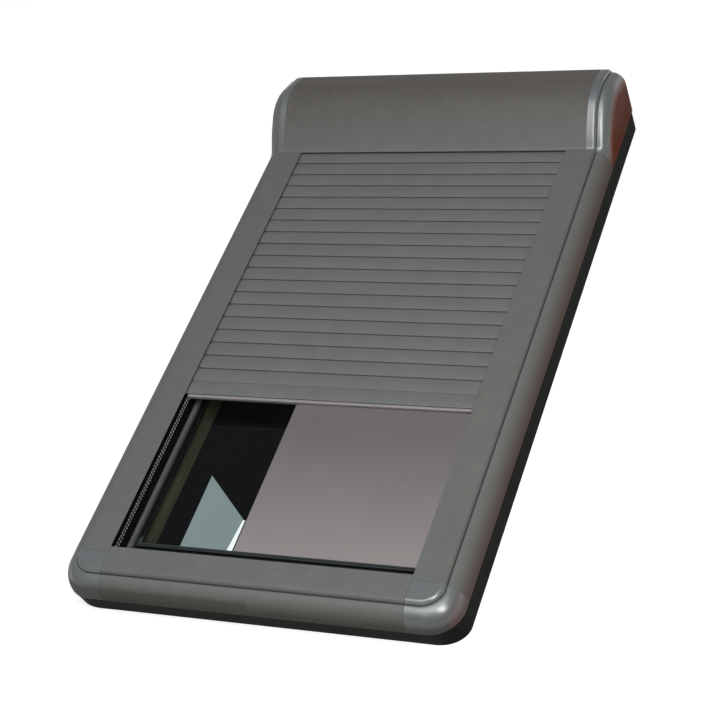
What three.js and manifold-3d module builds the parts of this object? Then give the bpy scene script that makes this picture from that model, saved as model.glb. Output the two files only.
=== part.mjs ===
// Exterior roller shutter for a roof window, with its cladding frame, headbox, wound curtain and glazed light.
// Millimetres, +Z away from the roof, -Y towards the eaves, +Y towards the ridge.
// The origin is the middle of the underside.
import * as THREE from "three";
import { mergeVertices } from "three/addons/utils/BufferGeometryUtils.js";
import Module from "manifold-3d";

const wasm = await Module();
wasm.setup();

// Overall sizes
const overallWidth = 825;
const overallLength = 1432;
const plateHeight = 104;
const headboxLength = 214.7;
const fitGap = 0.3;
const cutOver = 4;
const mergeTolerance = 1e-4;

// Cladding: a flat plate, a groove and a bulge that rolls over the outside
const coverWall = 2.2;
const cornerRadius = 62;
const bulgeWidth = 29.5;
const bulgeDrop = 49;
const grooveDepth = 8;
const coverLand = 2;
const lipDrop = 5;
const sidePlateWidth = 67;
const bottomPlateWidth = 60.2;
const cornerPieceTail = 15.5;
const upperCoverLength = 472.8;
const poleRadius = 2;

// Black base profiles under the cladding
const baseFloor = 3;
const baseWall = 4;
const baseTopInset = 1;
const baseFootInset = 6;
const baseInnerStep = 2;
const baseWebWall = 3;
const baseFlangeWidth = 22.5;
const bottomWebClear = 1.8;
const rearBaseRadius = 29.5;
const rearBaseInset = 5.5;

// Headbox dome
const frontAngle = THREE.MathUtils.degToRad(42);
const topFallAngle = THREE.MathUtils.degToRad(16);
const rollTopClear = 2.5;
const domeRadius = 102.6;
const domeRearRadius = 36.8;
const domeLeastRadius = 6;
const endStripWidth = 7;
const endCapRearInset = 33;
const endCapWall = 2.6;

// Curtain of interlocking slats
const slatPitch = 37;
const slatThickness = 8;
const slatLipClear = 1;
const slatEndClear = 2;
const slatCamber = 0.7;
const slatJointGap = 1.1;
const tongueLength = 4;
const tongueThickness = 2.4;
const channelDepth = 5;
const channelClear = 0.5;
const firstSlatShow = 27.8;
const boxRun = 148;
const curtainRun = 666;
const endSlatLength = 35;
const sealLength = 7;
const sealDrop = 14;
const sealEndClear = 4;
const sealTongueClear = 1;

// Guide rails with brush seals
const guideWidth = 25;
const guideFloorHeight = 19.1;
const guideWall = 2.5;
const guideWebWall = 3;
const brushWidth = 8;
const brushHeight = 13.5;
const brushSlatClear = 0.5;

// Glazed light under the curtain
const frameSideClear = 0.5;
const frameSideMember = 27.5;
const frameBottomMember = 67.1;
const frameTopMember = 44;
const sightTopInset = 46;
const glassThickness = 4;
const glassInset = 0.5;
const sashCoverWidth = 17.5;
const sashCoverHeight = 9.7;
const gasketSideWidth = 10.7;
const gasketBottomWidth = 21.5;
const gasketHeight = 3.6;
const gasketLip = 1.2;

// Roller in the headbox
const rollRadius = 38.25;
const rollClear = 1;
const rollPeakOffset = 3.1;
const rollEndShort = 2;
const layerSquash = 0.5;
const layerGap = 0.4;
const tubeRadius = 18.5;
const tubeWall = 1.5;
const tubeEndClear = 7;
const motorTubeClear = 2;
const motorLength = 400;
const jointLap = 1.2;
const crownLength = 22;
const crownFlange = 3;
const wheelLength = 18;
const shaftRadius = 5;
const shaftLength = 26;
const headSize = 46;
const headPinReach = 3;
const plateThickness = 3;
const plateGuideClear = 5;
const plateFootHalf = 62;
const plateHeadRadius = 30;
const idlerPinRadius = 5;
const idlerPinHead = 9;
const idlerPinHeadLength = 3;
const floorThickness = 2.5;
const floorEdge = 3;
const floorSeamClear = 7;

// Facets
const arcSteps = 5;
const bulgeSteps = 8;
const domeSteps = 10;
const cornerSteps = 10;
const roundSides = 28;
const spiralStepsPerTurn = 22;

// Worked-out places of the cladding
const frontY = -overallLength / 2;
const rearY = overallLength / 2;
const seamY = rearY - headboxLength;
const outerX = overallWidth / 2;
const cornerX = outerX - cornerRadius;
const cornerY = frontY + cornerRadius;
const grooveU = cornerRadius - bulgeWidth;
const plateEdgeU = grooveU - grooveDepth;
const sideInnerX = outerX - bulgeWidth - sidePlateWidth;
const bottomInnerY = frontY + bulgeWidth + bottomPlateWidth;
const coverEndY = cornerY + cornerPieceTail;
const middleSeamY = seamY - upperCoverLength;
const boundaryZ = plateHeight - grooveDepth - bulgeDrop;
const coverBottomZ = boundaryZ - coverLand;
const baseTopZ = coverBottomZ - fitGap;
const endCapWidth = bulgeWidth + grooveDepth + endStripWidth;

// Worked-out heights, from the slats down to the timber frame
const slatTopZ = plateHeight - lipDrop - slatLipClear;
const slatBottomZ = slatTopZ - slatThickness;
const brushTopZ = slatBottomZ - brushSlatClear;
const guideFloorTop = brushTopZ - brushHeight - fitGap;
const guideBottomZ = guideFloorTop - guideFloorHeight;
const guideTopZ = plateHeight - coverWall - fitGap;
const baseWebHeight = guideBottomZ - fitGap;
const paneZ = baseWebHeight - sashCoverHeight;
const paneTopZ = paneZ + glassThickness;
const frameHeight = paneZ - fitGap;
const floorZ = baseWebHeight + fitGap;
const floorTopZ = floorZ + floorThickness;

// Worked-out widths, from the guide rails to the roller
const guideOuterFace = sideInnerX + guideWidth;
const slatHalfLength = guideOuterFace - guideWebWall - slatEndClear;
const plateInnerFace = guideOuterFace + plateGuideClear;
const tubeHalfLength = plateInnerFace - tubeEndClear;
const rollHalfLength = slatHalfLength - rollEndShort;
const floorHalfWidth = plateInnerFace + plateThickness + floorEdge;
const baseInnerFace = sideInnerX + baseInnerStep;
const frameOuterHalf = baseInnerFace - frameSideClear;

// The dome stands over the roll, and the roll hangs close to the dome's peak
const slatTopDrop = plateHeight - slatTopZ;
const domeRise = rollClear + rollRadius * 2 + rollTopClear + coverWall - slatTopDrop;
const domePeakRun =
  (domeRadius - (domeRadius - domeRise) * Math.cos(frontAngle)) / Math.sin(frontAngle);
const domePeakY = seamY + domePeakRun;
const rollY = domePeakY - rollPeakOffset;
const rollZ = slatTopZ + rollClear + rollRadius;

// Colours and finishes
const paint = (color, roughness, metalness) =>
  new THREE.MeshStandardMaterial({ color, roughness, metalness });
const coverPaint = () => paint(0x6a6d69, 0.42, 0.35);
const mouldedGrey = () => paint(0x747779, 0.3, 0.1);
const slatPaint = () => paint(0x686b69, 0.5, 0.3);
const blackPlastic = () => paint(0x1b1c1b, 0.6, 0);
const blackRubber = () => paint(0x141515, 0.75, 0);
const bareAluminium = () => paint(0xa29a97, 0.35, 0.8);
const brushPile = () => paint(0x4d4f50, 0.95, 0);
const zincSteel = () => paint(0x9a9d9e, 0.4, 0.9);
const motorPaint = () => paint(0xc9c9c4, 0.45, 0.3);
const innerWood = () => paint(0x6d6443, 0.6, 0);
const darkGlass = () => {
  const glass = paint(0x3a4042, 0.05, 0);
  glass.transparent = true;
  glass.opacity = 0.4;
  return glass;
};

const part = new THREE.Group();
const add = (name, geometry, material) => {
  const mesh = new THREE.Mesh(geometry, material);
  mesh.name = name;
  part.add(mesh);
  return mesh;
};

// Shapes pushed along an axis: outlines are pairs in the plane across it
const points2 = (outline) => outline.map(([a, b]) => new THREE.Vector2(a, b));
const pushed = (outline, holes, basis, from, to) => {
  const loop = points2(outline);
  const shape = new THREE.Shape(THREE.ShapeUtils.area(loop) < 0 ? loop.reverse() : loop);
  for (const hole of holes) shape.holes.push(new THREE.Path(points2(hole)));
  const geometry = new THREE.ExtrudeGeometry(shape, { depth: to - from, bevelEnabled: false });
  geometry.translate(0, 0, from);
  return geometry.applyMatrix4(basis);
};
const xAxis = new THREE.Vector3(1, 0, 0);
const yAxis = new THREE.Vector3(0, 1, 0);
const zAxis = new THREE.Vector3(0, 0, 1);
const acrossX = new THREE.Matrix4().makeBasis(yAxis, zAxis, xAxis);
const acrossY = new THREE.Matrix4().makeBasis(zAxis, xAxis, yAxis);
const flipPairs = (outline) => outline.map(([x, z]) => [z, x]);
const alongX = (outlineYZ, from, to, holes = []) => pushed(outlineYZ, holes, acrossX, from, to);
const alongY = (outlineXZ, from, to, holes = []) =>
  pushed(flipPairs(outlineXZ), holes.map(flipPairs), acrossY, from, to);
const alongZ = (outlineXY, from, to, holes = []) =>
  pushed(outlineXY, holes, new THREE.Matrix4(), from, to);
const rectangle = (a0, b0, a1, b1) => [
  [a0, b0],
  [a1, b0],
  [a1, b1],
  [a0, b1],
];

// Round bars and rings along X, centred on the roller's axis
const circle = (centreA, centreB, radius, sides = roundSides) =>
  Array.from({ length: sides }, (_, i) => {
    const turn = (i / sides) * Math.PI * 2;
    return [centreA + radius * Math.cos(turn), centreB + radius * Math.sin(turn)];
  });
const onRoller = (radius) => circle(rollY, rollZ, radius);

// Mirror image across the middle plane, with its faces turned back out
const mirrored = (geometry) => {
  const copy = geometry.index ? geometry.toNonIndexed() : geometry.clone();
  copy.applyMatrix4(new THREE.Matrix4().makeScale(-1, 1, 1));
  const at = copy.getAttribute("position");
  for (let i = 0; i < at.count; i += 3) {
    const [x, y, z] = [at.getX(i), at.getY(i), at.getZ(i)];
    at.setXYZ(i, at.getX(i + 1), at.getY(i + 1), at.getZ(i + 1));
    at.setXYZ(i + 1, x, y, z);
  }
  copy.deleteAttribute("normal");
  copy.computeVertexNormals();
  return copy;
};
const addPair = (name, geometry, material) => {
  add(name + "_right", geometry, material());
  add(name + "_left", mirrored(geometry), material());
};

// A closed skin through rings of equal point counts; the two end rings are capped
const facingOut = (positions, triangles) => {
  const p = (i) => new THREE.Vector3().fromArray(positions, i * 3);
  let volume = 0;
  for (let i = 0; i < triangles.length; i += 3)
    volume += p(triangles[i]).dot(p(triangles[i + 1]).cross(p(triangles[i + 2])));
  if (volume < 0) triangles.reverse();
  const geometry = new THREE.BufferGeometry();
  geometry.setAttribute("position", new THREE.Float32BufferAttribute(positions, 3));
  geometry.setIndex(triangles);
  return geometry;
};
const skinned = (rings, capOutlines) => {
  const n = rings[0].length;
  const positions = rings.flat(2);
  const triangles = [];
  for (let r = 0; r + 1 < rings.length; r++)
    for (let i = 0; i < n; i++) {
      const [a, b] = [r * n + i, r * n + ((i + 1) % n)];
      triangles.push(a, b, a + n, b, b + n, a + n);
    }
  const cap = (outline, base, withRing) => {
    const flat = points2(outline);
    const keep = THREE.ShapeUtils.area(flat) > 0 === withRing;
    for (const [i, j, k] of THREE.ShapeUtils.triangulateShape(flat, []))
      triangles.push(base + i, base + (keep ? j : k), base + (keep ? k : j));
  };
  cap(capOutlines[0], 0, false);
  cap(capOutlines[1], (rings.length - 1) * n, true);
  return facingOut(positions, triangles);
};

// Joining and cutting
const toSolid = (geometry) => {
  const bare = geometry.clone();
  bare.deleteAttribute("normal");
  bare.deleteAttribute("uv");
  const merged = mergeVertices(bare, mergeTolerance);
  const vertProperties = merged.attributes.position.array;
  const triVerts = merged.index.array;
  return new wasm.Manifold(new wasm.Mesh({ numProp: 3, vertProperties, triVerts }));
};
const toGeometry = (solid) => {
  const mesh = solid.getMesh();
  const geometry = new THREE.BufferGeometry();
  geometry.setAttribute("position", new THREE.Float32BufferAttribute(mesh.vertProperties, 3));
  geometry.setIndex([...mesh.triVerts]);
  return geometry;
};
const joined = (...pieces) =>
  toGeometry(pieces.map(toSolid).reduce((whole, piece) => whole.add(piece)));
const cut = (whole, tool) => toGeometry(toSolid(whole).subtract(toSolid(tool)));

// A section of pairs (u outwards, z up) swept through stations with an origin and an outward direction
const swept = (section, stations) =>
  skinned(
    stations.map(({ at, out }) =>
      section.map(([u, z]) => [at[0] + out[0] * u, at[1] + out[1] * u, z]),
    ),
    [section, section],
  );
const arcPoints = (centreA, centreB, radiusA, radiusB, from, to, steps) =>
  Array.from({ length: steps + 1 }, (_, i) => {
    const turn = from + ((to - from) * i) / steps;
    return [centreA + radiusA * Math.sin(turn), centreB + radiusB * Math.cos(turn)];
  });

// The cladding's section: plate, rounded edge, groove, bulge and land, one wall thick
const quarter = Math.PI / 2;
const edgeArc = (radius, from, to) =>
  arcPoints(plateEdgeU, plateHeight - grooveDepth, radius, radius, from, to, arcSteps);
const bulgeArc = (inset, from, to) =>
  arcPoints(grooveU, boundaryZ, bulgeWidth - inset, bulgeDrop - inset, from, to, bulgeSteps);
const coverSection = (innerU, hasLip) => [
  ...(hasLip ? [[innerU, plateHeight - lipDrop]] : []),
  [innerU, plateHeight],
  ...edgeArc(grooveDepth, 0, quarter),
  ...bulgeArc(0, 0, quarter).slice(1),
  [cornerRadius, coverBottomZ],
  [cornerRadius - coverWall, coverBottomZ],
  ...bulgeArc(coverWall, quarter, 0),
  [grooveU - coverWall, plateHeight - grooveDepth - coverWall],
  ...edgeArc(grooveDepth - coverWall, quarter, 0),
  ...(hasLip
    ? [
        [innerU + coverWall, plateHeight - coverWall],
        [innerU + coverWall, plateHeight - lipDrop],
      ]
    : [[innerU, plateHeight - coverWall]]),
];

// Side covers, in a lower and an upper length on each side
const rightwards = [1, 0];
const forwards = [0, -1];
const sideSection = coverSection(sideInnerX - cornerX, false);
const sideLength = (from, to) =>
  swept(sideSection, [
    { at: [cornerX, from], out: rightwards },
    { at: [cornerX, to], out: rightwards },
  ]);
addPair("side_cover_lower", sideLength(coverEndY + fitGap, middleSeamY - fitGap), coverPaint);
addPair("side_cover_upper", sideLength(middleSeamY, seamY - fitGap), coverPaint);

// Bottom cover between the two corner pieces
add(
  "bottom_cover",
  swept(coverSection(cornerY - bottomInnerY, true), [
    { at: [-sideInnerX + fitGap, cornerY], out: forwards },
    { at: [sideInnerX - fitGap, cornerY], out: forwards },
  ]),
  coverPaint(),
);

// Corner pieces: the same section turned round the corner, with a flat square filled in inside it
const turnedStations = (centreX, centreY, from, to) =>
  Array.from({ length: cornerSteps + 1 }, (_, i) => {
    const turn = from + ((to - from) * i) / cornerSteps;
    return { at: [centreX, centreY], out: [Math.cos(turn), Math.sin(turn)] };
  });
const cornerPiece = () => {
  const ring = swept(coverSection(poleRadius, false), [
    { at: [sideInnerX, cornerY], out: forwards },
    ...turnedStations(cornerX, cornerY, -quarter, 0),
    { at: [cornerX, coverEndY], out: rightwards },
  ]);
  const lap = poleRadius * 2;
  const square = alongZ(
    rectangle(sideInnerX, cornerY - lap, cornerX + lap, coverEndY),
    plateHeight - coverWall,
    plateHeight,
  );
  return joined(ring, square);
};
addPair("corner_cover", cornerPiece(), mouldedGrey);

// Black base profiles
const baseOuter = cornerRadius - baseTopInset;
const baseFoot = cornerRadius - baseFootInset;
const baseSkirt = (outer, foot) => [
  [foot, 0],
  [outer, baseTopZ],
  [outer - baseWall, baseTopZ],
  [foot - baseWall, baseFloor],
];
const webU = baseInnerFace - cornerX;
const sideBaseSection = [
  ...baseSkirt(baseOuter, baseFoot),
  [webU + baseWebWall, baseFloor],
  [webU + baseWebWall, baseWebHeight - baseWebWall],
  [webU + baseFlangeWidth, baseWebHeight - baseWebWall],
  [webU + baseFlangeWidth, baseWebHeight],
  [webU, baseWebHeight],
  [webU, 0],
];
const rearCentreX = cornerX + baseOuter - rearBaseRadius;
const rearCentreY = rearY - rearBaseInset - rearBaseRadius;
addPair(
  "base_side",
  swept(sideBaseSection, [
    { at: [cornerX, cornerY + fitGap], out: rightwards },
    { at: [cornerX, rearCentreY - fitGap], out: rightwards },
  ]),
  blackPlastic,
);
const bottomWebInset = coverWall + bottomWebClear;
const bottomWebU = cornerY - bottomInnerY + bottomWebInset;
const bottomBaseSection = [
  ...baseSkirt(baseOuter, baseFoot),
  [bottomWebU + baseWebWall, baseFloor],
  [bottomWebU + baseWebWall, guideTopZ],
  [bottomWebU, guideTopZ],
  [bottomWebU, 0],
];
const bottomBaseEnd = sideInnerX - fitGap;
add(
  "base_bottom",
  swept(bottomBaseSection, [
    { at: [-bottomBaseEnd, cornerY], out: forwards },
    { at: [bottomBaseEnd, cornerY], out: forwards },
  ]),
  blackPlastic(),
);
const turnedBaseSection = (outer, foot) => [
  ...baseSkirt(outer, foot),
  [poleRadius, baseFloor],
  [poleRadius, 0],
];
addPair(
  "base_corner",
  swept(turnedBaseSection(baseOuter, baseFoot), [
    { at: [sideInnerX, cornerY], out: forwards },
    ...turnedStations(cornerX, cornerY, -quarter, 0),
  ]),
  blackPlastic,
);
const rearFoot = rearBaseRadius - (baseFootInset - baseTopInset);
add(
  "base_rear",
  swept(turnedBaseSection(rearBaseRadius, rearFoot), [
    ...turnedStations(rearCentreX, rearCentreY, 0, quarter),
    ...turnedStations(-rearCentreX, rearCentreY, quarter, Math.PI),
  ]),
  blackPlastic(),
);

// Headbox outline at an inset from the dome: front slope, round top, falling top, round back and rear wall
const meeting = (pointA, angleA, pointB, angleB) => {
  const [dx, dy] = [pointB[0] - pointA[0], pointB[1] - pointA[1]];
  const across = Math.cos(angleA) * Math.sin(angleB) - Math.sin(angleA) * Math.cos(angleB);
  const run = (dx * Math.sin(angleB) - dy * Math.cos(angleB)) / across;
  return [pointA[0] + run * Math.cos(angleA), pointA[1] + run * Math.sin(angleA)];
};
const rounded = (corner, angleIn, angleOut, radius, steps) => {
  const reach = radius * Math.tan((angleIn - angleOut) / 2);
  const start = [corner[0] - reach * Math.cos(angleIn), corner[1] - reach * Math.sin(angleIn)];
  const centre = [start[0] + radius * Math.sin(angleIn), start[1] - radius * Math.cos(angleIn)];
  return Array.from({ length: steps + 1 }, (_, i) => {
    const heading = angleIn + ((angleOut - angleIn) * i) / steps;
    return [centre[0] - radius * Math.sin(heading), centre[1] + radius * Math.cos(heading)];
  });
};
const domeOutline = (inset, rearInset) => {
  const peakCentreZ = plateHeight + domeRise - domeRadius;
  const frontPoint = [
    seamY + inset * Math.sin(frontAngle),
    plateHeight - inset * Math.cos(frontAngle),
  ];
  const fallRadius = domeRadius - inset;
  const fallPoint = [
    domePeakY + fallRadius * Math.sin(topFallAngle),
    peakCentreZ + fallRadius * Math.cos(topFallAngle),
  ];
  const rear = rearY - rearInset;
  const valleyZ = plateHeight - inset;
  const valley = [frontPoint[0] + (valleyZ - frontPoint[1]) / Math.tan(frontAngle), valleyZ];
  const crown = meeting(frontPoint, frontAngle, fallPoint, -topFallAngle);
  const back = meeting(fallPoint, -topFallAngle, [rear, 0], -quarter);
  const fallRun = (back[0] - fallPoint[0]) / Math.cos(topFallAngle) - fitGap;
  const backTurn = quarter - topFallAngle;
  const wantedRadius = Math.max(domeRearRadius - inset, domeLeastRadius);
  const backRadius = Math.min(wantedRadius, fallRun / Math.tan(backTurn / 2));
  return [
    valley,
    ...rounded(crown, frontAngle, -topFallAngle, fallRadius, domeSteps),
    ...rounded(back, -topFallAngle, -quarter, backRadius, arcSteps),
    [rear, coverBottomZ],
  ];
};
const coverHalf = outerX - endCapWidth - fitGap;
const headboxSection = [...domeOutline(0, 0), ...domeOutline(coverWall, coverWall).reverse()];
add("headbox_cover", alongX(headboxSection, -coverHalf, coverHalf), coverPaint());

// Headbox end caps: a raised strip, the groove and the bulge, carried over the dome's outline
const endCapStations = (inset) => {
  const edge = arcPoints(plateEdgeU, grooveDepth, grooveDepth, -grooveDepth, 0, quarter, arcSteps);
  const dropped = edge.map(([u, drop]) => [Math.min(u, grooveU - inset), drop + inset]);
  const bulge = arcPoints(
    grooveU,
    grooveDepth + bulgeDrop,
    bulgeWidth - inset,
    inset - bulgeDrop,
    0,
    quarter,
    bulgeSteps,
  );
  return [[cornerRadius - endCapWidth, inset], ...dropped, ...bulge];
};
const endCapRing = ([u, drop], front, bottom) => {
  const rearInset = (drop * endCapRearInset) / (grooveDepth + bulgeDrop);
  const over = domeOutline(drop, rearInset).slice(0, -1);
  const ring = [[front, bottom], [front, plateHeight - drop], ...over, [rearY - rearInset, bottom]];
  return ring.map(([y, z]) => [cornerX + u, y, z]);
};
const flatRing = (ring) => ring.map(([, y, z]) => [y, z]);
const endCapSolid = (stations, front, bottom) => {
  const rings = stations.map((station) => endCapRing(station, front, bottom));
  return skinned(rings, [flatRing(rings[0]), flatRing(rings[rings.length - 1])]);
};
const spread = (stations) =>
  stations.filter(([u], i) => i === 0 || u - stations[i - 1][0] > fitGap);
const endCap = () => {
  const outside = endCapSolid(spread(endCapStations(0)), seamY, coverBottomZ);
  const innerStations = spread(endCapStations(endCapWall));
  const [firstU, firstDrop] = innerStations[0];
  const opened = [[firstU - cutOver, firstDrop], ...innerStations];
  return cut(outside, endCapSolid(opened, seamY - cutOver, coverBottomZ - cutOver));
};
addPair("headbox_end", endCap(), mouldedGrey);

// Guide rails: a hollow floor and an outer web, closed above by the cover's plate
const guideInnerWeb = guideOuterFace - guideWebWall;
const guideSection = [
  [sideInnerX, guideBottomZ],
  [guideOuterFace, guideBottomZ],
  [guideOuterFace, guideTopZ],
  [guideInnerWeb, guideTopZ],
  [guideInnerWeb, guideFloorTop],
  [sideInnerX, guideFloorTop],
];
const guideChamber = rectangle(
  sideInnerX + guideWall,
  guideBottomZ + guideWall,
  guideInnerWeb - guideWall,
  guideFloorTop - guideWall,
);
const webInnerY = bottomInnerY - bottomWebInset;
const guideFromY = webInnerY + fitGap;
const guideToY = seamY - fitGap;
addPair("guide_rail", alongY(guideSection, guideFromY, guideToY, [guideChamber]), blackPlastic);
const brushSection = rectangle(
  sideInnerX,
  guideFloorTop + fitGap,
  sideInnerX + brushWidth,
  brushTopZ,
);
addPair("brush_seal", alongY(brushSection, guideFromY + fitGap, guideToY), brushPile);

// Slats: a cambered face, a tongue on the upper edge and a channel in the lower edge
const slatMiddleZ = slatBottomZ + slatThickness / 2;
const halfTongue = tongueThickness / 2;
const slatOutline = (lowerY, length) => {
  const upperY = lowerY + length - slatJointGap;
  const halfChannel = halfTongue + channelClear;
  const face = Array.from({ length: arcSteps + 1 }, (_, i) => {
    const faceShare = i / arcSteps;
    const fromMiddle = faceShare * 2 - 1;
    return [
      lowerY + (upperY - lowerY) * faceShare,
      slatTopZ - slatCamber * fromMiddle * fromMiddle,
    ];
  });
  return [
    [lowerY, slatMiddleZ + halfChannel],
    ...face,
    [upperY, slatMiddleZ + halfTongue],
    [upperY + tongueLength, slatMiddleZ + halfTongue],
    [upperY + tongueLength, slatMiddleZ - halfTongue],
    [upperY, slatMiddleZ - halfTongue],
    [upperY, slatBottomZ],
    [lowerY, slatBottomZ],
    [lowerY, slatMiddleZ - halfChannel],
    [lowerY + channelDepth, slatMiddleZ - halfChannel],
    [lowerY + channelDepth, slatMiddleZ + halfChannel],
  ];
};
const addSlat = (name, lowerY, length) =>
  add(name, alongX(slatOutline(lowerY, length), -slatHalfLength, slatHalfLength), slatPaint());
const curtainTopY = seamY - firstSlatShow + boxRun;
const slatCount = Math.round((boxRun + curtainRun) / slatPitch);
for (let i = 1; i <= slatCount; i++)
  addSlat("slat_" + String(i).padStart(2, "0"), curtainTopY - i * slatPitch, slatPitch);
const curtainFootY = curtainTopY - slatCount * slatPitch;
const endSlatFootY = curtainFootY - endSlatLength;
addSlat("end_slat", endSlatFootY, endSlatLength);

// Bright closing strip on the end slat, with a tongue that sits in the slat's channel
const sealHalf = sideInnerX - sealEndClear;
const sealFrontY = endSlatFootY - sealLength;
const sealBackY = endSlatFootY - sealLength / 2;
const sealTongueY = endSlatFootY + channelDepth - sealTongueClear;
const sealSection = [
  [endSlatFootY - fitGap, slatTopZ - slatCamber],
  [sealBackY, slatTopZ],
  [sealFrontY, slatTopZ - sealLength / 2],
  [sealFrontY, slatTopZ - sealDrop],
  [sealBackY, slatTopZ - sealDrop],
  [sealBackY, slatMiddleZ - halfTongue],
  [sealTongueY, slatMiddleZ - halfTongue],
  [sealTongueY, slatMiddleZ + halfTongue],
  [endSlatFootY - fitGap, slatMiddleZ + halfTongue],
];
add("end_slat_seal", alongX(sealSection, -sealHalf, sealHalf), bareAluminium());

// Glazed light: timber inner frame, pane, sash cover and gasket
const ringOutline = (half, fromY, toY) => rectangle(-half, fromY, half, toY);
const frameFromY = webInnerY + fitGap;
const sightFromY = frameFromY + frameBottomMember;
const sightToY = seamY - sightTopInset;
const frameToY = sightToY + frameTopMember;
const frameOutline = ringOutline(frameOuterHalf, frameFromY, frameToY);
const sightOutline = ringOutline(frameOuterHalf - frameSideMember, sightFromY, sightToY);
add("inner_frame", alongZ(frameOutline, 0, frameHeight, [sightOutline]), innerWood());
const rebateHalf = frameOuterHalf - sashCoverWidth;
const rebateFromY = sightFromY - gasketBottomWidth - fitGap;
const rebateToY = sightToY + gasketSideWidth + fitGap;
const paneOutline = ringOutline(
  rebateHalf - glassInset,
  rebateFromY + glassInset,
  rebateToY - glassInset,
);
add("glass_pane", alongZ(paneOutline, paneZ, paneTopZ), darkGlass());
const rebateOutline = ringOutline(rebateHalf, rebateFromY, rebateToY);
add("sash_cover", alongZ(frameOutline, paneZ, baseWebHeight, [rebateOutline]), coverPaint());
const gasketZ = paneTopZ + fitGap;
const gasketRing = (half, fromY, toY, z) => [
  [half, fromY, z],
  [half, toY, z],
  [-half, toY, z],
  [-half, fromY, z],
];
const gasketOuter = (z) =>
  gasketRing(rebateHalf - fitGap, rebateFromY + fitGap, rebateToY - fitGap, z);
const gasketInner = (z) => gasketRing(rebateHalf - gasketSideWidth, sightFromY, sightToY, z);
const gasketLoops = [
  gasketOuter(gasketZ),
  gasketOuter(gasketZ + gasketHeight),
  gasketInner(gasketZ + gasketLip),
  gasketInner(gasketZ),
];
const closedRing = (loops) => {
  const n = loops[0].length;
  const triangles = [];
  loops.forEach((_, s) => {
    const [here, next] = [s * n, ((s + 1) % loops.length) * n];
    for (let i = 0; i < n; i++) {
      const j = (i + 1) % n;
      triangles.push(here + i, here + j, next + i, here + j, next + j, next + i);
    }
  });
  return facingOut(loops.flat(2), triangles);
};
add("glazing_gasket", closedRing(gasketLoops), blackRubber());

// Headbox floor and the two bearing plates that stand on it
const floorOutline = rectangle(
  -floorHalfWidth,
  seamY + floorSeamClear,
  floorHalfWidth,
  rearY - coverWall - fitGap,
);
add("headbox_floor", alongZ(floorOutline, floorZ, floorTopZ), zincSteel());
const bearingOutline = [
  [rollY - plateFootHalf, floorTopZ + fitGap],
  [rollY + plateFootHalf, floorTopZ + fitGap],
  ...circle(rollY, rollZ, plateHeadRadius).slice(0, roundSides / 2 + 1),
];
const plateOuterFace = plateInnerFace + plateThickness;
const pinBore = onRoller(idlerPinRadius + fitGap);
const bearingPlate = alongX(bearingOutline, plateInnerFace, plateOuterFace, [pinBore]);
addPair("bearing_plate", bearingPlate, zincSteel);

// Roller tube with the wound slats on it
const tubeInner = tubeRadius - tubeWall;
add(
  "roller_tube",
  alongX(onRoller(tubeRadius), -tubeHalfLength, tubeHalfLength, [onRoller(tubeInner)]),
  zincSteel(),
);
const woundSlats = () => {
  const layerThickness = slatThickness - layerSquash;
  const layerPitch = layerThickness + layerGap;
  const turns = (rollRadius - tubeRadius - fitGap - layerThickness) / layerPitch;
  const steps = Math.ceil(turns * spiralStepsPerTurn);
  const edge = (inset) =>
    Array.from({ length: steps + 1 }, (_, i) => {
      const turn = (turns * i) / steps;
      const radius = rollRadius - layerPitch * turn - inset;
      const angle = turn * Math.PI * 2 - quarter;
      return [rollY + radius * Math.cos(angle), rollZ + radius * Math.sin(angle)];
    });
  return alongX([...edge(0), ...edge(layerThickness).reverse()], -rollHalfLength, rollHalfLength);
};
add("wound_slats", woundSlats(), slatPaint());

// Tubular motor inside the right end of the tube, held by its head in the bearing plate
const motorRadius = tubeInner - motorTubeClear;
const motorFrom = tubeHalfLength - motorLength;
const motorBody = joined(
  alongX(onRoller(motorRadius), motorFrom, tubeHalfLength),
  alongX(onRoller(shaftRadius), motorFrom - shaftLength, motorFrom + jointLap),
);
add("tube_motor", motorBody, motorPaint());
const headFrom = tubeHalfLength + fitGap;
const headTo = plateInnerFace - fitGap;
const halfHead = headSize / 2;
const headOutline = rectangle(rollY - halfHead, rollZ - halfHead, rollY + halfHead, rollZ + halfHead);
const motorHead = joined(
  alongX(headOutline, headFrom + crownFlange, headTo),
  alongX(onRoller(motorRadius), headFrom, headFrom + crownFlange + jointLap),
  alongX(onRoller(idlerPinRadius), headTo - jointLap, plateOuterFace + headPinReach),
);
add("motor_head", motorHead, blackPlastic());
const crownOuter = onRoller(tubeInner - fitGap);
const crownInner = onRoller(motorRadius + fitGap);
add(
  "drive_crown",
  alongX(crownOuter, tubeHalfLength - crownLength, tubeHalfLength, [crownInner]),
  blackPlastic(),
);
const wheelTo = motorFrom - fitGap;
const wheelBore = onRoller(shaftRadius + fitGap);
add("drive_wheel", alongX(crownOuter, wheelTo - wheelLength, wheelTo, [wheelBore]), blackPlastic());

// Idler at the left end: a cap in the tube turning on a pin through the bearing plate
const capTo = crownLength - tubeHalfLength;
const flangeTo = -tubeHalfLength - fitGap;
const flangeFrom = flangeTo - crownFlange + fitGap;
const idlerCap = joined(
  alongX(crownOuter, flangeTo - fitGap, capTo, [pinBore]),
  alongX(onRoller(tubeRadius), flangeFrom, flangeTo, [pinBore]),
);
add("idler_cap", idlerCap, blackPlastic());
const pinOuter = -plateOuterFace - fitGap;
const idlerPin = joined(
  alongX(onRoller(idlerPinRadius), pinOuter - fitGap, capTo),
  alongX(onRoller(idlerPinHead), pinOuter - idlerPinHeadLength, pinOuter),
);
add("idler_pin", idlerPin, zincSteel());

export default part;
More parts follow.
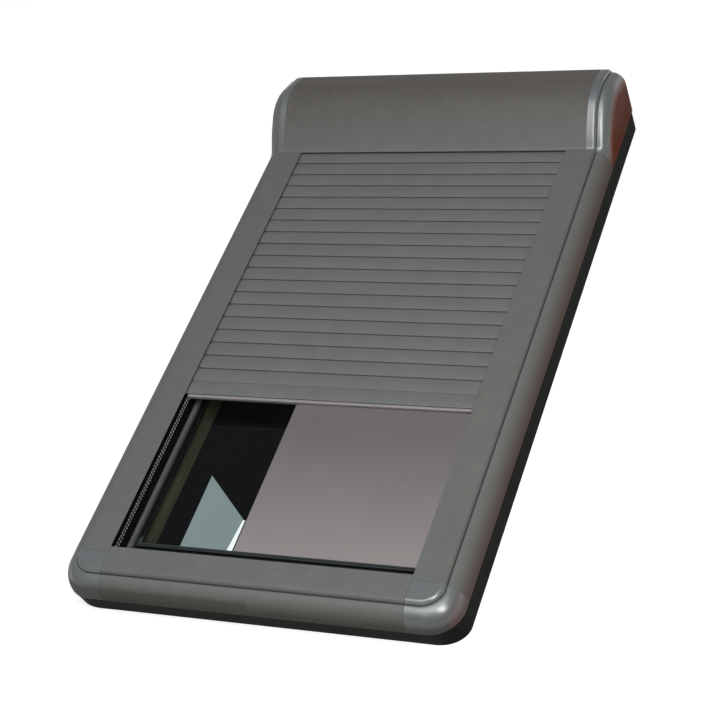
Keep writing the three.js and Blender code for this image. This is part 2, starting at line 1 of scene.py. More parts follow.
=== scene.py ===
# %% [markdown]
# # An exterior roller shutter for a roof window
#
# This lesson dresses a CAD model of a roller shutter: grey cladding round a roof window, a headbox that holds
# the roller, and a curtain of slats pulled down over two thirds of the glass. The CAD solids are right in size
# but faceted. So the shells that catch the light are modelled again here, as thin bent sheet and moulded
# plastic, and the hidden pieces keep their CAD mesh under a proper finish.

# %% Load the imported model
import math

import bmesh
import bpy
from mathutils import Matrix, Vector


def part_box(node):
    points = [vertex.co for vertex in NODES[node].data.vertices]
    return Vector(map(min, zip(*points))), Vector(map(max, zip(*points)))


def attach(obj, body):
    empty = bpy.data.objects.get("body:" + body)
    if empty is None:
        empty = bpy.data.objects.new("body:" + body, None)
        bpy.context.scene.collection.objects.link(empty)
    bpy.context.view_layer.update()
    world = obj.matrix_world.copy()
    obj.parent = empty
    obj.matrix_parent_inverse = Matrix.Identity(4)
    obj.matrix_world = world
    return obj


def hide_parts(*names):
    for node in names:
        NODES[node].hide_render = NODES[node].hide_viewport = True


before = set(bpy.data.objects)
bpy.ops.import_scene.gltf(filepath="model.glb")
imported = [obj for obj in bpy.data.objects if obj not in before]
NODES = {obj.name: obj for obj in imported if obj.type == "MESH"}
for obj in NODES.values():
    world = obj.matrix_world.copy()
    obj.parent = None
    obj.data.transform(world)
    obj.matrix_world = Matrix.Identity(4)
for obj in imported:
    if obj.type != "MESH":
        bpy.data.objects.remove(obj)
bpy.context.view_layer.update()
MM = 0.001

# %% [markdown]
# ## The camera
#
# The shutter lies flat on the floor, and the camera looks down on it from the eaves end and from the right. A
# long lens keeps the long edges nearly parallel. Place and direction were fitted to the photograph's edges.

# %% Camera at the photograph's angle
CAMERA_PLACE = Vector((1.59606, -2.37221, 2.66012))
CAMERA_LOOK = Vector((-0.41527, 0.60102, -0.68288))
CAMERA_RIGHT = Vector((0.90887, 0.30629, -0.28312))
LENS_MM = 93.28
SENSOR_MM = 36.0
FARTHEST_M = 500

scene = bpy.context.scene
camera_data = bpy.data.cameras.new("camera")
camera_data.lens = LENS_MM
camera_data.sensor_width = SENSOR_MM
camera_data.sensor_fit = "HORIZONTAL"
camera_data.clip_end = FARTHEST_M
camera = bpy.data.objects.new("camera", camera_data)
scene.collection.objects.link(camera)
look = CAMERA_LOOK.normalized()
right = (CAMERA_RIGHT - CAMERA_RIGHT.dot(look) * look).normalized()
turn = Matrix((right, right.cross(look), -look)).transposed()
camera.matrix_world = Matrix.Translation(CAMERA_PLACE) @ turn.to_4x4()
scene.camera = camera
print("camera height in metres:", round(CAMERA_PLACE.z, 3))

# %% [markdown]
# ## Helpers for node trees
#
# Materials are trees of nodes. Small helpers keep the later cells short: one starts an empty material, one adds
# a node, sets its values and wires its inputs in a single line, and one ends the tree with its shader. The
# second cell gives short words to the nodes that come up again and again.

# %% Node helpers


def add(tree, kind, inputs=None, **settings):
    """Adds one shader node. An input may be a value or another node's output."""
    made = tree.nodes.new(kind)
    for name, value in settings.items():
        setattr(made, name, value)
    for socket, value in (inputs or {}).items():
        if isinstance(value, bpy.types.NodeSocket):
            tree.links.new(value, made.inputs[socket])
        else:
            made.inputs[socket].default_value = value
    return made


def empty_material(name):
    """A node material without nodes, and its tree."""
    material = bpy.data.materials.new(name)
    material.use_nodes = True
    material.node_tree.nodes.clear()
    return material, material.node_tree


def show(tree, shader, kind="ShaderNodeOutputMaterial"):
    """Ends a tree with a shader as its surface."""
    tree.links.new(shader.outputs[0], tree.nodes.new(kind).inputs["Surface"])


def rgba(red, green, blue):
    """A colour as a node socket wants it."""
    return (red, green, blue, 1.0)


print("node helpers ready")

# %% Short words for common nodes


def math_node(tree, operation, first, second=0.0):
    """One sum, product or comparison."""
    return add(tree, "ShaderNodeMath", {0: first, 1: second}, operation=operation).outputs[0]


def times(tree, first, second):
    return math_node(tree, "MULTIPLY", first, second)


def plus(tree, first, second):
    return math_node(tree, "ADD", first, second)


def minus(tree, first, second):
    return math_node(tree, "SUBTRACT", first, second)


def ranged(tree, value, start, end, to_start=0.0, to_end=1.0):
    """Maps one range of a value to another, and stops at the ends."""
    return add(tree, "ShaderNodeMapRange", {"Value": value, "From Min": start, "From Max": end,
                                            "To Min": to_start, "To Max": to_end}).outputs[0]


def object_place(tree):
    """Where a point lies on the object, in metres."""
    return add(tree, "ShaderNodeTexCoord").outputs["Object"]


def parts(tree, vector):
    """The X, Y and Z of a place or a direction."""
    return add(tree, "ShaderNodeSeparateXYZ", {0: vector}).outputs


def noise(tree, place, scale, detail, roughness=0.5, distortion=0.0):
    """A cloudy pattern between 0 and 1."""
    return add(tree, "ShaderNodeTexNoise", {"Vector": place, "Scale": scale, "Detail": detail,
                                            "Roughness": roughness, "Distortion": distortion}).outputs["Fac"]


def blend(tree, factor, first, second):
    """A colour between two others."""
    return add(tree, "ShaderNodeMix", {"Factor": factor, "A": first, "B": second},
               data_type="RGBA").outputs["Result"]


def scaled_colour(tree, colour, factor):
    """A colour made lighter or darker by a factor."""
    return add(tree, "ShaderNodeVectorMath", {0: colour, "Scale": factor}, operation="SCALE").outputs["Vector"]


def bumps(tree, height, strength, depth_mm):
    """A surface direction bent by small heights."""
    return add(tree, "ShaderNodeBump", {"Height": height, "Strength": strength,
                                        "Distance": depth_mm * MM}).outputs[0]


print("short words ready")

# %% [markdown]
# ## The floor
#
# The photograph shows the shutter on plain white. A large pale floor gives the white and keeps the shutter's
# shadow. To every ray that the camera sends, straight, mirrored or through the glass, the floor is white: half
# of it is painted on and takes the shadow, and half is its own glow. To the soft light that bounces about it is
# darker and a little brown, as roof tiles are, so the lower edges of the cladding stay deep.

# %% Floor
FLOOR_HALF = 150.0
FLOOR_DROP = 0.0006
FLOOR_WHITE = rgba(0.6, 0.6, 0.6)
FLOOR_GLOW = 0.62
FLOOR_BOUNCE = rgba(0.13, 0.085, 0.065)


def rectangle(low, high, height):
    """One flat face between two corners, all in metres."""
    bm = bmesh.new()
    bmesh.ops.create_grid(bm, x_segments=1, y_segments=1, size=0.5)
    bmesh.ops.scale(bm, vec=(high[0] - low[0], high[1] - low[1], 1), verts=bm.verts[:])
    middle = ((low[0] + high[0]) / 2, (low[1] + high[1]) / 2, height)
    bmesh.ops.translate(bm, vec=middle, verts=bm.verts[:])
    return bm


def flat_sheet(name, low, high, height):
    """A flat rectangle as an object."""
    bm = rectangle(low, high, height)
    mesh = bpy.data.meshes.new(name)
    bm.to_mesh(mesh)
    bm.free()
    sheet = bpy.data.objects.new(name, mesh)
    scene.collection.objects.link(sheet)
    return sheet


def seen_by_camera(tree):
    """1 for camera, mirror and glass rays, and 0 for light that bounces softly."""
    path = add(tree, "ShaderNodeLightPath").outputs
    direct = math_node(tree, "MAXIMUM", path["Is Camera Ray"], path["Is Glossy Ray"])
    return math_node(tree, "MAXIMUM", direct, path["Is Transmission Ray"])


floor = flat_sheet("floor", (-FLOOR_HALF, -FLOOR_HALF), (FLOOR_HALF, FLOOR_HALF), -FLOOR_DROP)
pale, tree = empty_material("pale_floor")
paper = add(tree, "ShaderNodeBsdfDiffuse", {"Color": FLOOR_WHITE})
glow = add(tree, "ShaderNodeEmission", {"Strength": FLOOR_GLOW})
white = add(tree, "ShaderNodeAddShader", {0: paper.outputs[0], 1: glow.outputs[0]})
bounce = add(tree, "ShaderNodeBsdfDiffuse", {"Color": FLOOR_BOUNCE})
show(tree, add(tree, "ShaderNodeMixShader", {"Fac": seen_by_camera(tree), 1: bounce.outputs[0],
                                             2: white.outputs[0]}))
floor.data.materials.append(pale)
print("floor side in metres:", 2 * FLOOR_HALF)

# %% [markdown]
# ## The light
#
# The photograph was lit by a wide bright sky overhead, and a brighter band of it ran down to the front right.
# The rounded edges answer that band with one long soft highlight each, and the sides turn brown and dark
# towards the ground. Here the world is a gradient round the upright, a large softbox hangs overhead, a tall
# one at the front right stands for the band, and a weak one over the eaves lights the lower bulge.

# %% Sky
SKY_CENTRE = Vector((0.08, -0.1, 0.99)).normalized()
SKY_STOPS = [
    (0.0, (0.14, 0.1, 0.082)),
    (0.5, (0.28, 0.235, 0.21)),
    (0.66, (0.2, 0.19, 0.19)),
    (0.78, (0.1, 0.105, 0.115)),
    (0.88, (0.1, 0.105, 0.115)),
    (0.95, (0.5, 0.51, 0.54)),
    (1.0, (0.7, 0.71, 0.74)),
]
SKY_STRENGTH = 0.72

scene.view_settings.view_transform = "Standard"
world = bpy.data.worlds.new("high_soft_sky")
scene.world = world
world.use_nodes = True
tree = world.node_tree
tree.nodes.clear()
ray = add(tree, "ShaderNodeTexCoord").outputs["Generated"]
toward = add(tree, "ShaderNodeVectorMath", {0: ray, 1: SKY_CENTRE}, operation="DOT_PRODUCT").outputs["Value"]
ramp = add(tree, "ShaderNodeValToRGB", {"Fac": ranged(tree, toward, -1.0, 1.0)})
stops = ramp.color_ramp.elements
while len(stops) < len(SKY_STOPS):
    stops.new(0.5)
for stop, (position, colour) in zip(stops, SKY_STOPS):
    stop.position = position
    stop.color = rgba(*colour)
sky = add(tree, "ShaderNodeBackground", {"Color": ramp.outputs["Color"], "Strength": SKY_STRENGTH})
show(tree, sky, "ShaderNodeOutputWorld")
print("sky stops:", len(stops))

# %% Softboxes
LAMP_AIM = Vector((0, -0.05, 0.1))
LAMPS = [
    ("overhead", (0.1, -0.95, 3.8), 3.6, 3.0, 94),
    ("front_band", (2.25, -1.62, 3.05), 1.0, 2.3, 76),
    ("eaves_band", (-0.35, -2.85, 2.55), 2.2, 0.9, 8),
]

for name, spot, width, length, watts in LAMPS:
    data = bpy.data.lights.new(name, "AREA")
    data.shape = "RECTANGLE"
    data.size = width
    data.size_y = length
    data.energy = watts
    lamp = bpy.data.objects.new(name, data)
    scene.collection.objects.link(lamp)
    lamp.location = spot
    lamp.rotation_euler = (LAMP_AIM - Vector(spot)).to_track_quat("-Z", "Y").to_euler()

# %% [markdown]
# ## Cards under the glass: painted shade and painted reflection
#
# Glass is nothing without what shows in it. The left part of the pane is nearly black and the right part a soft
# grey with a touch of pink, with one straight edge between them. Two plain cards lie on the floor under the pane
# and give it both tones. The dark card is painted shade for the dark room under the window, and the grey card is
# a painted reflection in the pane. They glow faintly by themselves though they are no lamps, so the curtain throws
# no shadow on them. They belong to the stage, not to the shutter.

# %% Cards of painted shade and painted reflection
CARD_LIFT = 0.0004
CARD_EDGE_X = -0.121
CARD_FROM_Y = -0.563
CARD_TO_Y = 0.45
CARD_HALF_X = 0.305
GLASS_PASSES = 0.78
# Card tones: painted shade on the left, and a painted reflection on the right that is darker near the curtain.
PAINTED_SHADE_TONE = rgba(0.002, 0.002, 0.002)
PAINTED_REFLECTION_FAR = rgba(0.147, 0.131, 0.133)
PAINTED_REFLECTION_NEAR = rgba(0.26, 0.228, 0.229)
GREY_FAR_Y = -0.24
GREY_NEAR_Y = -0.53
CLOUD_SCALE = 5.0
CLOUD_SWING = 0.07


def card(name, low, high, far, near, lift=1.0):
    """A card that glows by itself as painted light, with one tone near the curtain and one near the eaves."""
    sheet = flat_sheet(name, low, high, -CARD_LIFT * lift)
    material, tree = empty_material(name)
    place = object_place(tree)
    tone = blend(tree, ranged(tree, parts(tree, place)["Y"], GREY_FAR_Y, GREY_NEAR_Y), far, near)
    cloud = noise(tree, place, CLOUD_SCALE, 2.0)
    uneven = ranged(tree, cloud, 0.0, 1.0, 1 - CLOUD_SWING, 1 + CLOUD_SWING)
    show(tree, add(tree, "ShaderNodeEmission", {"Color": scaled_colour(tree, tone, uneven),
                                                "Strength": 1 / GLASS_PASSES}))
    sheet.data.materials.append(material)
    return sheet


card("painted_shade_card", (-CARD_HALF_X, CARD_FROM_Y), (CARD_EDGE_X, CARD_TO_Y), PAINTED_SHADE_TONE, PAINTED_SHADE_TONE)
card("painted_reflection_card", (CARD_EDGE_X, CARD_FROM_Y), (CARD_HALF_X, CARD_TO_Y), PAINTED_REFLECTION_FAR, PAINTED_REFLECTION_NEAR)
print("cards meet at x =", CARD_EDGE_X)

# %% [markdown]
# On the dark card lies a painted patch of pale blue daylight with a painted glint, a bright sliver, along its
# edge. Both glow by themselves. Each is a rectangle with one corner drawn to its place, which is less work than a
# shape of its own.

# %% Painted patch of daylight and painted glint
PATCH_LOW = (-0.24, -0.562)
PATCH_HIGH = (-0.1265, -0.3616)
PATCH_SLANT = -0.104
PAINTED_DAYLIGHT_TONE = rgba(0.19, 0.243, 0.243)
PATCH_LIFT = 0.75
SLIVER_LOW = (-0.1375, -0.562)
SLIVER_HIGH = (-0.1235, -0.466)
SLIVER_SLANT = 0.009
PAINTED_GLINT_TONE = rgba(0.85, 0.9, 0.9)
SLIVER_LIFT = 0.5


def draw_corner(sheet, corner, move):
    """Moves the one corner of a flat sheet that lies nearest to a place."""
    bm = bmesh.new()
    bm.from_mesh(sheet.data)
    nearest = min(bm.verts, key=lambda v: (v.co.xy - Vector(corner)).length)
    bmesh.ops.translate(bm, verts=[nearest], vec=move)
    bm.to_mesh(sheet.data)
    bm.free()


patch = card("painted_daylight_patch", PATCH_LOW, PATCH_HIGH, PAINTED_DAYLIGHT_TONE, PAINTED_DAYLIGHT_TONE, PATCH_LIFT)
draw_corner(patch, PATCH_HIGH, (0, PATCH_SLANT, 0))
sliver = card("painted_glint_sliver", SLIVER_LOW, SLIVER_HIGH, PAINTED_GLINT_TONE, PAINTED_GLINT_TONE, SLIVER_LIFT)
draw_corner(sliver, (SLIVER_LOW[0], SLIVER_HIGH[1]), (SLIVER_SLANT, 0, 0))
print("patch area in square metres:", round(sum(face.area for face in patch.data.polygons), 4))

# %% [markdown]
# ## Shared effects
#
# Most surfaces here are paint or moulded plastic. They differ in colour and gloss but share four effects: a fine
# grain, a light dust where a face looks up, a painted brown reflection with painted shade on upright faces, and
# hairline scuffs. Each effect is one node group, built once and placed in each material with its own values. A
# group puts out only colours, roughness, masks and heights, and the shader itself stays in the material.

# %% Group with named sockets


def new_group(name, inputs, outputs):
    """An empty node group with named sockets. A socket named a colour is one, and all others are numbers."""
    group = bpy.data.node_groups.new(name, "ShaderNodeTree")
    for way, titles in (("INPUT", inputs), ("OUTPUT", outputs)):
        for title in titles:
            kind = "NodeSocketColor" if title.endswith("Colour") else "NodeSocketFloat"
            group.interface.new_socket(title, in_out=way, socket_type=kind)
    return group, group.nodes.new("NodeGroupInput").outputs


def put_out(group, values):
    """Wires the results of a group to its outputs."""
    given = group.nodes.new("NodeGroupOutput")
    for title, value in values.items():
        group.links.new(value, given.inputs[title])
    print("group:", group.name, "puts out", ", ".join(values))


print("group helpers ready")

# %% Fine grain
BROAD_SCALE = 7.0

GRAIN, taken = new_group("fine_grain",
                         ["Colour", "Patchiness", "Cells per Metre", "Roughness", "Roughness Spread"],
                         ["Colour", "Roughness", "Height"])
place = object_place(GRAIN)
fine = noise(GRAIN, place, taken["Cells per Metre"], 3.0)
broad = minus(GRAIN, noise(GRAIN, place, BROAD_SCALE, 4.0, 0.6), 0.5)
patches = times(GRAIN, broad, taken["Patchiness"])
speck = times(GRAIN, minus(GRAIN, fine, 0.5), taken["Patchiness"])
tone = plus(GRAIN, plus(GRAIN, patches, speck), 1.0)
put_out(GRAIN, {
    "Colour": scaled_colour(GRAIN, taken["Colour"], tone),
    "Roughness": plus(GRAIN, taken["Roughness"], times(GRAIN, broad, taken["Roughness Spread"])),
    "Height": fine,
})

# %% Settled dust
DUST_SCALE = 23.0
DUST_ROUGHENS = 0.35

DUST, taken = new_group("settled_dust", ["Colour", "Dust Colour", "Amount", "Roughness"], ["Colour", "Roughness"])
upward = parts(DUST, add(DUST, "ShaderNodeNewGeometry").outputs["Normal"])["Z"]
level = ranged(DUST, upward, 0.3, 1.0)
patchy = ranged(DUST, noise(DUST, object_place(DUST), DUST_SCALE, 6.0, 0.7), 0.42, 0.75)
laid = times(DUST, times(DUST, level, patchy), taken["Amount"])
put_out(DUST, {
    "Colour": blend(DUST, laid, taken["Colour"], taken["Dust Colour"]),
    "Roughness": plus(DUST, taken["Roughness"], times(DUST, laid, DUST_ROUGHENS)),
})

# %% [markdown]
# The side tone is a painted reflection of the brown ground and walls, with painted shade low down, and it follows
# three rules. It lies on upright faces only, it begins at a distance from the middle or below a height, and on the
# left side it is thicker, reaches further up the bulge and has the colour of clay. Low down it is a near-black
# painted shade. Where it lies, the moulded pieces lose their gloss, so the group also tells how much coat is left.

# %% Painted reflection and painted shade on upright faces
LOW_PAINTED_SHADE = rgba(0.05, 0.048, 0.042)
LEFT_CLAY_REFLECTION = rgba(0.142, 0.088, 0.07)
SIDE_TINT_FADES_IN = 0.007
LOW_STARTS_Z = 0.088
LOW_FULL_Z = 0.078
SIDE_TINT_STARTS_AT = 0.8
SIDE_TINT_FULL_AT = 0.15
LEFT_STARTS_SOONER = 0.18
LEFT_FULL_SOONER = 0.45
SIDE_TINT_NOISE_SCALE = 9.0
SIDE_TINT_ROUGHENS = 0.6

PAINTED_SIDES, taken = new_group("painted_side_reflection", ["Colour", "Reflection Colour", "Amount", "From X", "Roughness"],
                          ["Colour", "Roughness", "Coat Share"])
place = object_place(PAINTED_SIDES)
apart = parts(PAINTED_SIDES, place)
upward = parts(PAINTED_SIDES, add(PAINTED_SIDES, "ShaderNodeNewGeometry").outputs["Normal"])["Z"]
left = math_node(PAINTED_SIDES, "LESS_THAN", apart["X"], 0.0)
starts = plus(PAINTED_SIDES, times(PAINTED_SIDES, left, LEFT_STARTS_SOONER), SIDE_TINT_STARTS_AT)
steep = plus(PAINTED_SIDES, times(PAINTED_SIDES, left, LEFT_FULL_SOONER), SIDE_TINT_FULL_AT)
upright = ranged(PAINTED_SIDES, upward, starts, steep)
reach = math_node(PAINTED_SIDES, "ABSOLUTE", apart["X"])
begin = minus(PAINTED_SIDES, taken["From X"], times(PAINTED_SIDES, left, SIDE_TINT_FADES_IN))
outside = ranged(PAINTED_SIDES, reach, begin, plus(PAINTED_SIDES, begin, SIDE_TINT_FADES_IN))
below = ranged(PAINTED_SIDES, apart["Z"], LOW_STARTS_Z, LOW_FULL_Z)
side_tint_faces = times(PAINTED_SIDES, upright, math_node(PAINTED_SIDES, "MAXIMUM", outside, below))
side_tint_noise = ranged(PAINTED_SIDES, noise(PAINTED_SIDES, place, SIDE_TINT_NOISE_SCALE, 5.0, 0.6), 0.3, 0.7, 0.85)
side_tint_mask = times(PAINTED_SIDES, times(PAINTED_SIDES, side_tint_faces, side_tint_noise), taken["Amount"])
# Painted reflection: clay brown on the left, the given tone on the right, and near-black painted shade low down.
side_tone = blend(PAINTED_SIDES, left, taken["Reflection Colour"], LEFT_CLAY_REFLECTION)
side_tint_tone = blend(PAINTED_SIDES, outside, LOW_PAINTED_SHADE, side_tone)
put_out(PAINTED_SIDES, {
    "Colour": blend(PAINTED_SIDES, side_tint_mask, taken["Colour"], side_tint_tone),
    "Roughness": plus(PAINTED_SIDES, taken["Roughness"], times(PAINTED_SIDES, side_tint_mask, SIDE_TINT_ROUGHENS)),
    "Coat Share": minus(PAINTED_SIDES, 1.0, side_tint_mask),
})

# %% Hairline scuffs
SCUFF_ACROSS_Z = 300.0

SCUFF, taken = new_group("hairline_scuffs", ["Along X", "Along Y", "Amount"], ["Mask"])
stretch = add(SCUFF, "ShaderNodeCombineXYZ", {"X": taken["Along X"], "Y": taken["Along Y"],
                                              "Z": SCUFF_ACROSS_Z}).outputs[0]
drawn = add(SCUFF, "ShaderNodeVectorMath", {0: object_place(SCUFF), 1: stretch},
            operation="MULTIPLY").outputs["Vector"]
thin = ranged(SCUFF, noise(SCUFF, drawn, 1.0, 2.0), 0.66, 0.74)
put_out(SCUFF, {"Mask": times(SCUFF, thin, taken["Amount"])})

# %% [markdown]
# ## The finishes
#
# Every painted or moulded finish is put together the same way: grain, then scuffs, then dust, then the painted
# side tone of reflection and shade, and one shader. The numbers tell them apart. Powder coat on the covers is matt
# with a fine grain, the moulded corners have a clear coat that ends where the painted side tone begins, the black
# profiles swallow light, and zinc is metal with a faint spangle.
# Some finishes change along one axis: the headbox is darker and browner on its crown, a painted shade, and the
# gasket is black but keeps a painted bluish sheen of the sky on its lower bar only.

# %% A coated finish
FINISH = {}
DUST_TONE = rgba(0.3, 0.29, 0.27)
SIDE_REFLECTION_TONE = rgba(0.1, 0.054, 0.042)
CAP_WALL_REFLECTION_TONE = rgba(0.17, 0.042, 0.018)
GLOSS_IOR = 1.9
GLOSS_ROUGHNESS = 0.28
GRAIN_STRENGTH = 0.6


def place_group(tree, group, inputs):
    """Places a shared node group in a material."""
    return add(tree, "ShaderNodeGroup", inputs, node_tree=group).outputs


def coated(slot, colour, roughness, cells, bump_mm, patchiness=0.06, dust=0.1, metallic=0.0, specular=0.5,
           scuff=0.0, scuff_x=900.0, scuff_y=9.0, spread=0.08, side_tint=0.0, side_tint_colour=SIDE_REFLECTION_TONE,
           side_tint_from=0.393, band=None, gloss=False):
    """A painted, moulded or plated surface made of the shared effects."""
    FINISH[slot], tree = empty_material(slot)
    plain = rgba(*colour)
    if band:
        far_tone, axis, start, end = band
        share = ranged(tree, parts(tree, object_place(tree))[axis], start, end)
        plain = blend(tree, share, plain, rgba(*far_tone))
    grain = place_group(tree, GRAIN, {"Colour": plain, "Patchiness": patchiness, "Cells per Metre": cells,
                                      "Roughness": roughness, "Roughness Spread": spread})
    scuffs = place_group(tree, SCUFF, {"Along X": scuff_x, "Along Y": scuff_y, "Amount": scuff})
    rubbed = scaled_colour(tree, grain["Colour"], plus(tree, scuffs["Mask"], 1.0))
    dusty = place_group(tree, DUST, {"Colour": rubbed, "Dust Colour": DUST_TONE, "Amount": dust,
                                     "Roughness": grain["Roughness"]})
    # The side tone paints reflection and shade on upright faces, and its coat share dulls the clear coat there.
    tinted = place_group(tree, PAINTED_SIDES, {"Colour": dusty["Colour"], "Reflection Colour": side_tint_colour, "Amount": side_tint,
                                        "From X": side_tint_from, "Roughness": dusty["Roughness"]})
    height = minus(tree, grain["Height"], scuffs["Mask"])
    surface = {"Base Color": tinted["Colour"], "Roughness": tinted["Roughness"],
               "Normal": bumps(tree, height, GRAIN_STRENGTH, bump_mm), "Metallic": metallic,
               "Specular IOR Level": specular}
    if gloss:
        surface |= {"Coat Weight": tinted["Coat Share"], "Coat IOR": GLOSS_IOR, "Coat Roughness": GLOSS_ROUGHNESS}
    show(tree, add(tree, "ShaderNodeBsdfPrincipled", surface))


coated("cladding", (0.12, 0.127, 0.117), 0.44, 1400, 0.12, specular=0.28, side_tint=0.7, scuff=0.06, scuff_x=700,
       scuff_y=12)
# The headbox paint turns darker and browner towards its crown: a painted shade set as a band on height.
coated("headbox_paint", (0.131, 0.131, 0.128), 0.46, 1600, 0.08, specular=0.25, scuff=0.05, scuff_x=8,
       scuff_y=500, band=((0.096, 0.09, 0.082), "Z", 0.109, 0.163))
coated("moulded_grey", (0.13, 0.141, 0.143), 0.3, 1100, 0.06, dust=0.04, spread=0.06, specular=0.0,
       side_tint=0.85, gloss=True)
# The caps are a copy of the moulded finish, with a strong red-brown painted reflection on their upright wall.
coated("cap_grey", (0.13, 0.141, 0.143), 0.3, 1100, 0.06, dust=0.04, spread=0.06, specular=0.0, side_tint=1.0,
       side_tint_colour=CAP_WALL_REFLECTION_TONE, side_tint_from=0.402, gloss=True)
# A darker copy of the cladding paint: painted shade for the sash ledge deep under the plates.
coated("sash_shaded_paint", (0.094, 0.097, 0.094), 0.36, 1400, 0.1, specular=0.4)
coated("slat_paint", (0.129, 0.135, 0.128), 0.42, 1500, 0.06, scuff=0.05, scuff_x=8, scuff_y=600)
coated("seal_strip", (0.27, 0.25, 0.243), 0.4, 1300, 0.05, metallic=0.2, scuff=0.15, scuff_x=10, scuff_y=900)
coated("black_plastic", (0.013, 0.0135, 0.012), 0.7, 900, 0.1, specular=0.03, dust=0.01)
coated("rail_black", (0.005, 0.005, 0.005), 0.6, 900, 0.1, specular=0.05, dust=0.0)
# The rubber is black except on the lower bar, which keeps a painted bluish sheen that stands for the sky's
# reflection.
coated("black_rubber", (0.036, 0.043, 0.046), 0.4, 700, 0.08, specular=0.2, dust=0.01,
       band=((0.004, 0.004, 0.004), "Y", -0.5665, -0.559))
coated("motor_paint", (0.58, 0.58, 0.55), 0.4, 900, 0.06, scuff=0.06, scuff_x=12, scuff_y=700)
coated("zinc_steel", (0.45, 0.46, 0.47), 0.36, 260, 0.04, metallic=0.9, patchiness=0.25, scuff=0.2,
       scuff_x=14, scuff_y=800)
print("coated finishes:", sorted(FINISH))

# %% [markdown]
# The brush seal is one slot with two tones: dark carrier and backing, and lighter nylon tips where the tufts
# stand out from it. The tips are found by their place, because they reach a few tenths of a millimetre
# further into the opening than the carrier.

# %% Brush finish
TUFT_FACE_X = 0.31665
FIBRES_PER_METRE = 2600.0
CARRIER_TONE = rgba(0.006, 0.006, 0.006)
NYLON_TONE = rgba(0.5, 0.51, 0.53)

FINISH["brush_pile"], tree = empty_material("brush_pile")
place = object_place(tree)
reach = math_node(tree, "ABSOLUTE", parts(tree, place)["X"])
fibre = noise(tree, place, FIBRES_PER_METRE, 2.0)
pile = blend(tree, math_node(tree, "LESS_THAN", reach, TUFT_FACE_X), CARRIER_TONE, NYLON_TONE)
tone = ranged(tree, fibre, 0.0, 1.0, 0.6, 1.4)
show(tree, add(tree, "ShaderNodeBsdfPrincipled", {
    "Base Color": scaled_colour(tree, pile, tone), "Roughness": 0.9, "Normal": bumps(tree, fibre, 0.8, 0.3),
    "Specular IOR Level": 0.2}))
print("brush tips begin at x =", TUFT_FACE_X)

# %% [markdown]
# The inner frame is lacquered pine. Grain runs along each member, so the side members and the end members need
# their pattern turned. One mask on the distance from the middle tells them apart: rings are noise that is
# stretched along the member, and narrow dark lines between them are the late wood. The top centimetre, where
# the pane and gasket lie over the wood, is darkened as painted shade.

# %% Timber finish
SIDE_MEMBER_X = 0.293
MEMBER_SLACK = 0.0005
SHADED_FROM_Z = 0.037
SHADE_FADES_IN = 0.004
EARLY_WOOD = rgba(0.08, 0.077, 0.046)
LATE_WOOD = rgba(0.056, 0.052, 0.028)
GASKET_SHADE = rgba(0.006, 0.006, 0.005)
GRAIN_STRETCH = (1.0, 0.05, 1.0)
RINGS_PER_METRE = 120.0
PORES_PER_METRE = 1400.0
LACQUER_ROUGHNESS = 0.38
LACQUER_COAT = 0.3

FINISH["timber"], tree = empty_material("timber")
place = object_place(tree)
apart = parts(tree, place)
side = math_node(tree, "GREATER_THAN", math_node(tree, "ABSOLUTE", apart["X"]), SIDE_MEMBER_X - MEMBER_SLACK)
turned = add(tree, "ShaderNodeCombineXYZ", {"X": apart["Y"], "Y": apart["X"], "Z": apart["Z"]}).outputs[0]
along = add(tree, "ShaderNodeMix", {"Factor": side, "A": turned, "B": place}, data_type="VECTOR").outputs["Result"]
drawn = add(tree, "ShaderNodeVectorMath", {0: along, 1: GRAIN_STRETCH}, operation="MULTIPLY").outputs["Vector"]
rings = noise(tree, drawn, RINGS_PER_METRE, 3.0, distortion=0.6)
pores = noise(tree, drawn, PORES_PER_METRE, 2.0)
wood = blend(tree, ranged(tree, rings, 0.42, 0.6), EARLY_WOOD, LATE_WOOD)
gasket_shade_mask = ranged(tree, apart["Z"], SHADED_FROM_Z, SHADED_FROM_Z + SHADE_FADES_IN)
pine_and_shade = blend(tree, gasket_shade_mask, wood, GASKET_SHADE)
tone = ranged(tree, pores, 0.0, 1.0, 0.85, 1.12)
show(tree, add(tree, "ShaderNodeBsdfPrincipled", {
    "Base Color": scaled_colour(tree, pine_and_shade, tone), "Roughness": LACQUER_ROUGHNESS,
    "Normal": bumps(tree, pores, 0.4, 0.1), "Coat Weight": LACQUER_COAT}))
print("timber: side members beyond x =", SIDE_MEMBER_X)

# %% [markdown]
# The pane is clear glass with a slight grey-green body. Real light falls through it, but a path tracer would
# have to find its way through two glass faces to every lamp. So the material lets shadow rays pass with the
# same tint, and everything else meets true glass. A thin film of dust makes parts of it a little less sharp.

# %% Glass finish
GLASS_TINT = rgba(0.88, 0.91, 0.9)
GLASS_SHADOW = rgba(0.52, 0.56, 0.55)
GLASS_IOR = 1.45
CLEAREST = 0.004
HAZIEST = 0.03
HAZE_SCALE = 14.0
WAVE_SCALE = 5.0

FINISH["glass"], tree = empty_material("glass")
place = object_place(tree)
haze = ranged(tree, noise(tree, place, HAZE_SCALE, 5.0), 0.4, 0.8, CLEAREST, HAZIEST)
wave = noise(tree, place, WAVE_SCALE, 0.0)
shader = add(tree, "ShaderNodeBsdfPrincipled", {
    "Base Color": GLASS_TINT, "Roughness": haze, "IOR": GLASS_IOR, "Transmission Weight": 1.0,
    "Normal": bumps(tree, wave, 0.05, 0.2)})
clear = add(tree, "ShaderNodeBsdfTransparent", {"Color": GLASS_SHADOW})
shadow_ray = add(tree, "ShaderNodeLightPath").outputs["Is Shadow Ray"]
show(tree, add(tree, "ShaderNodeMixShader", {"Fac": shadow_ray, 1: shader.outputs[0], 2: clear.outputs[0]}))
print("finishes:", len(FINISH))

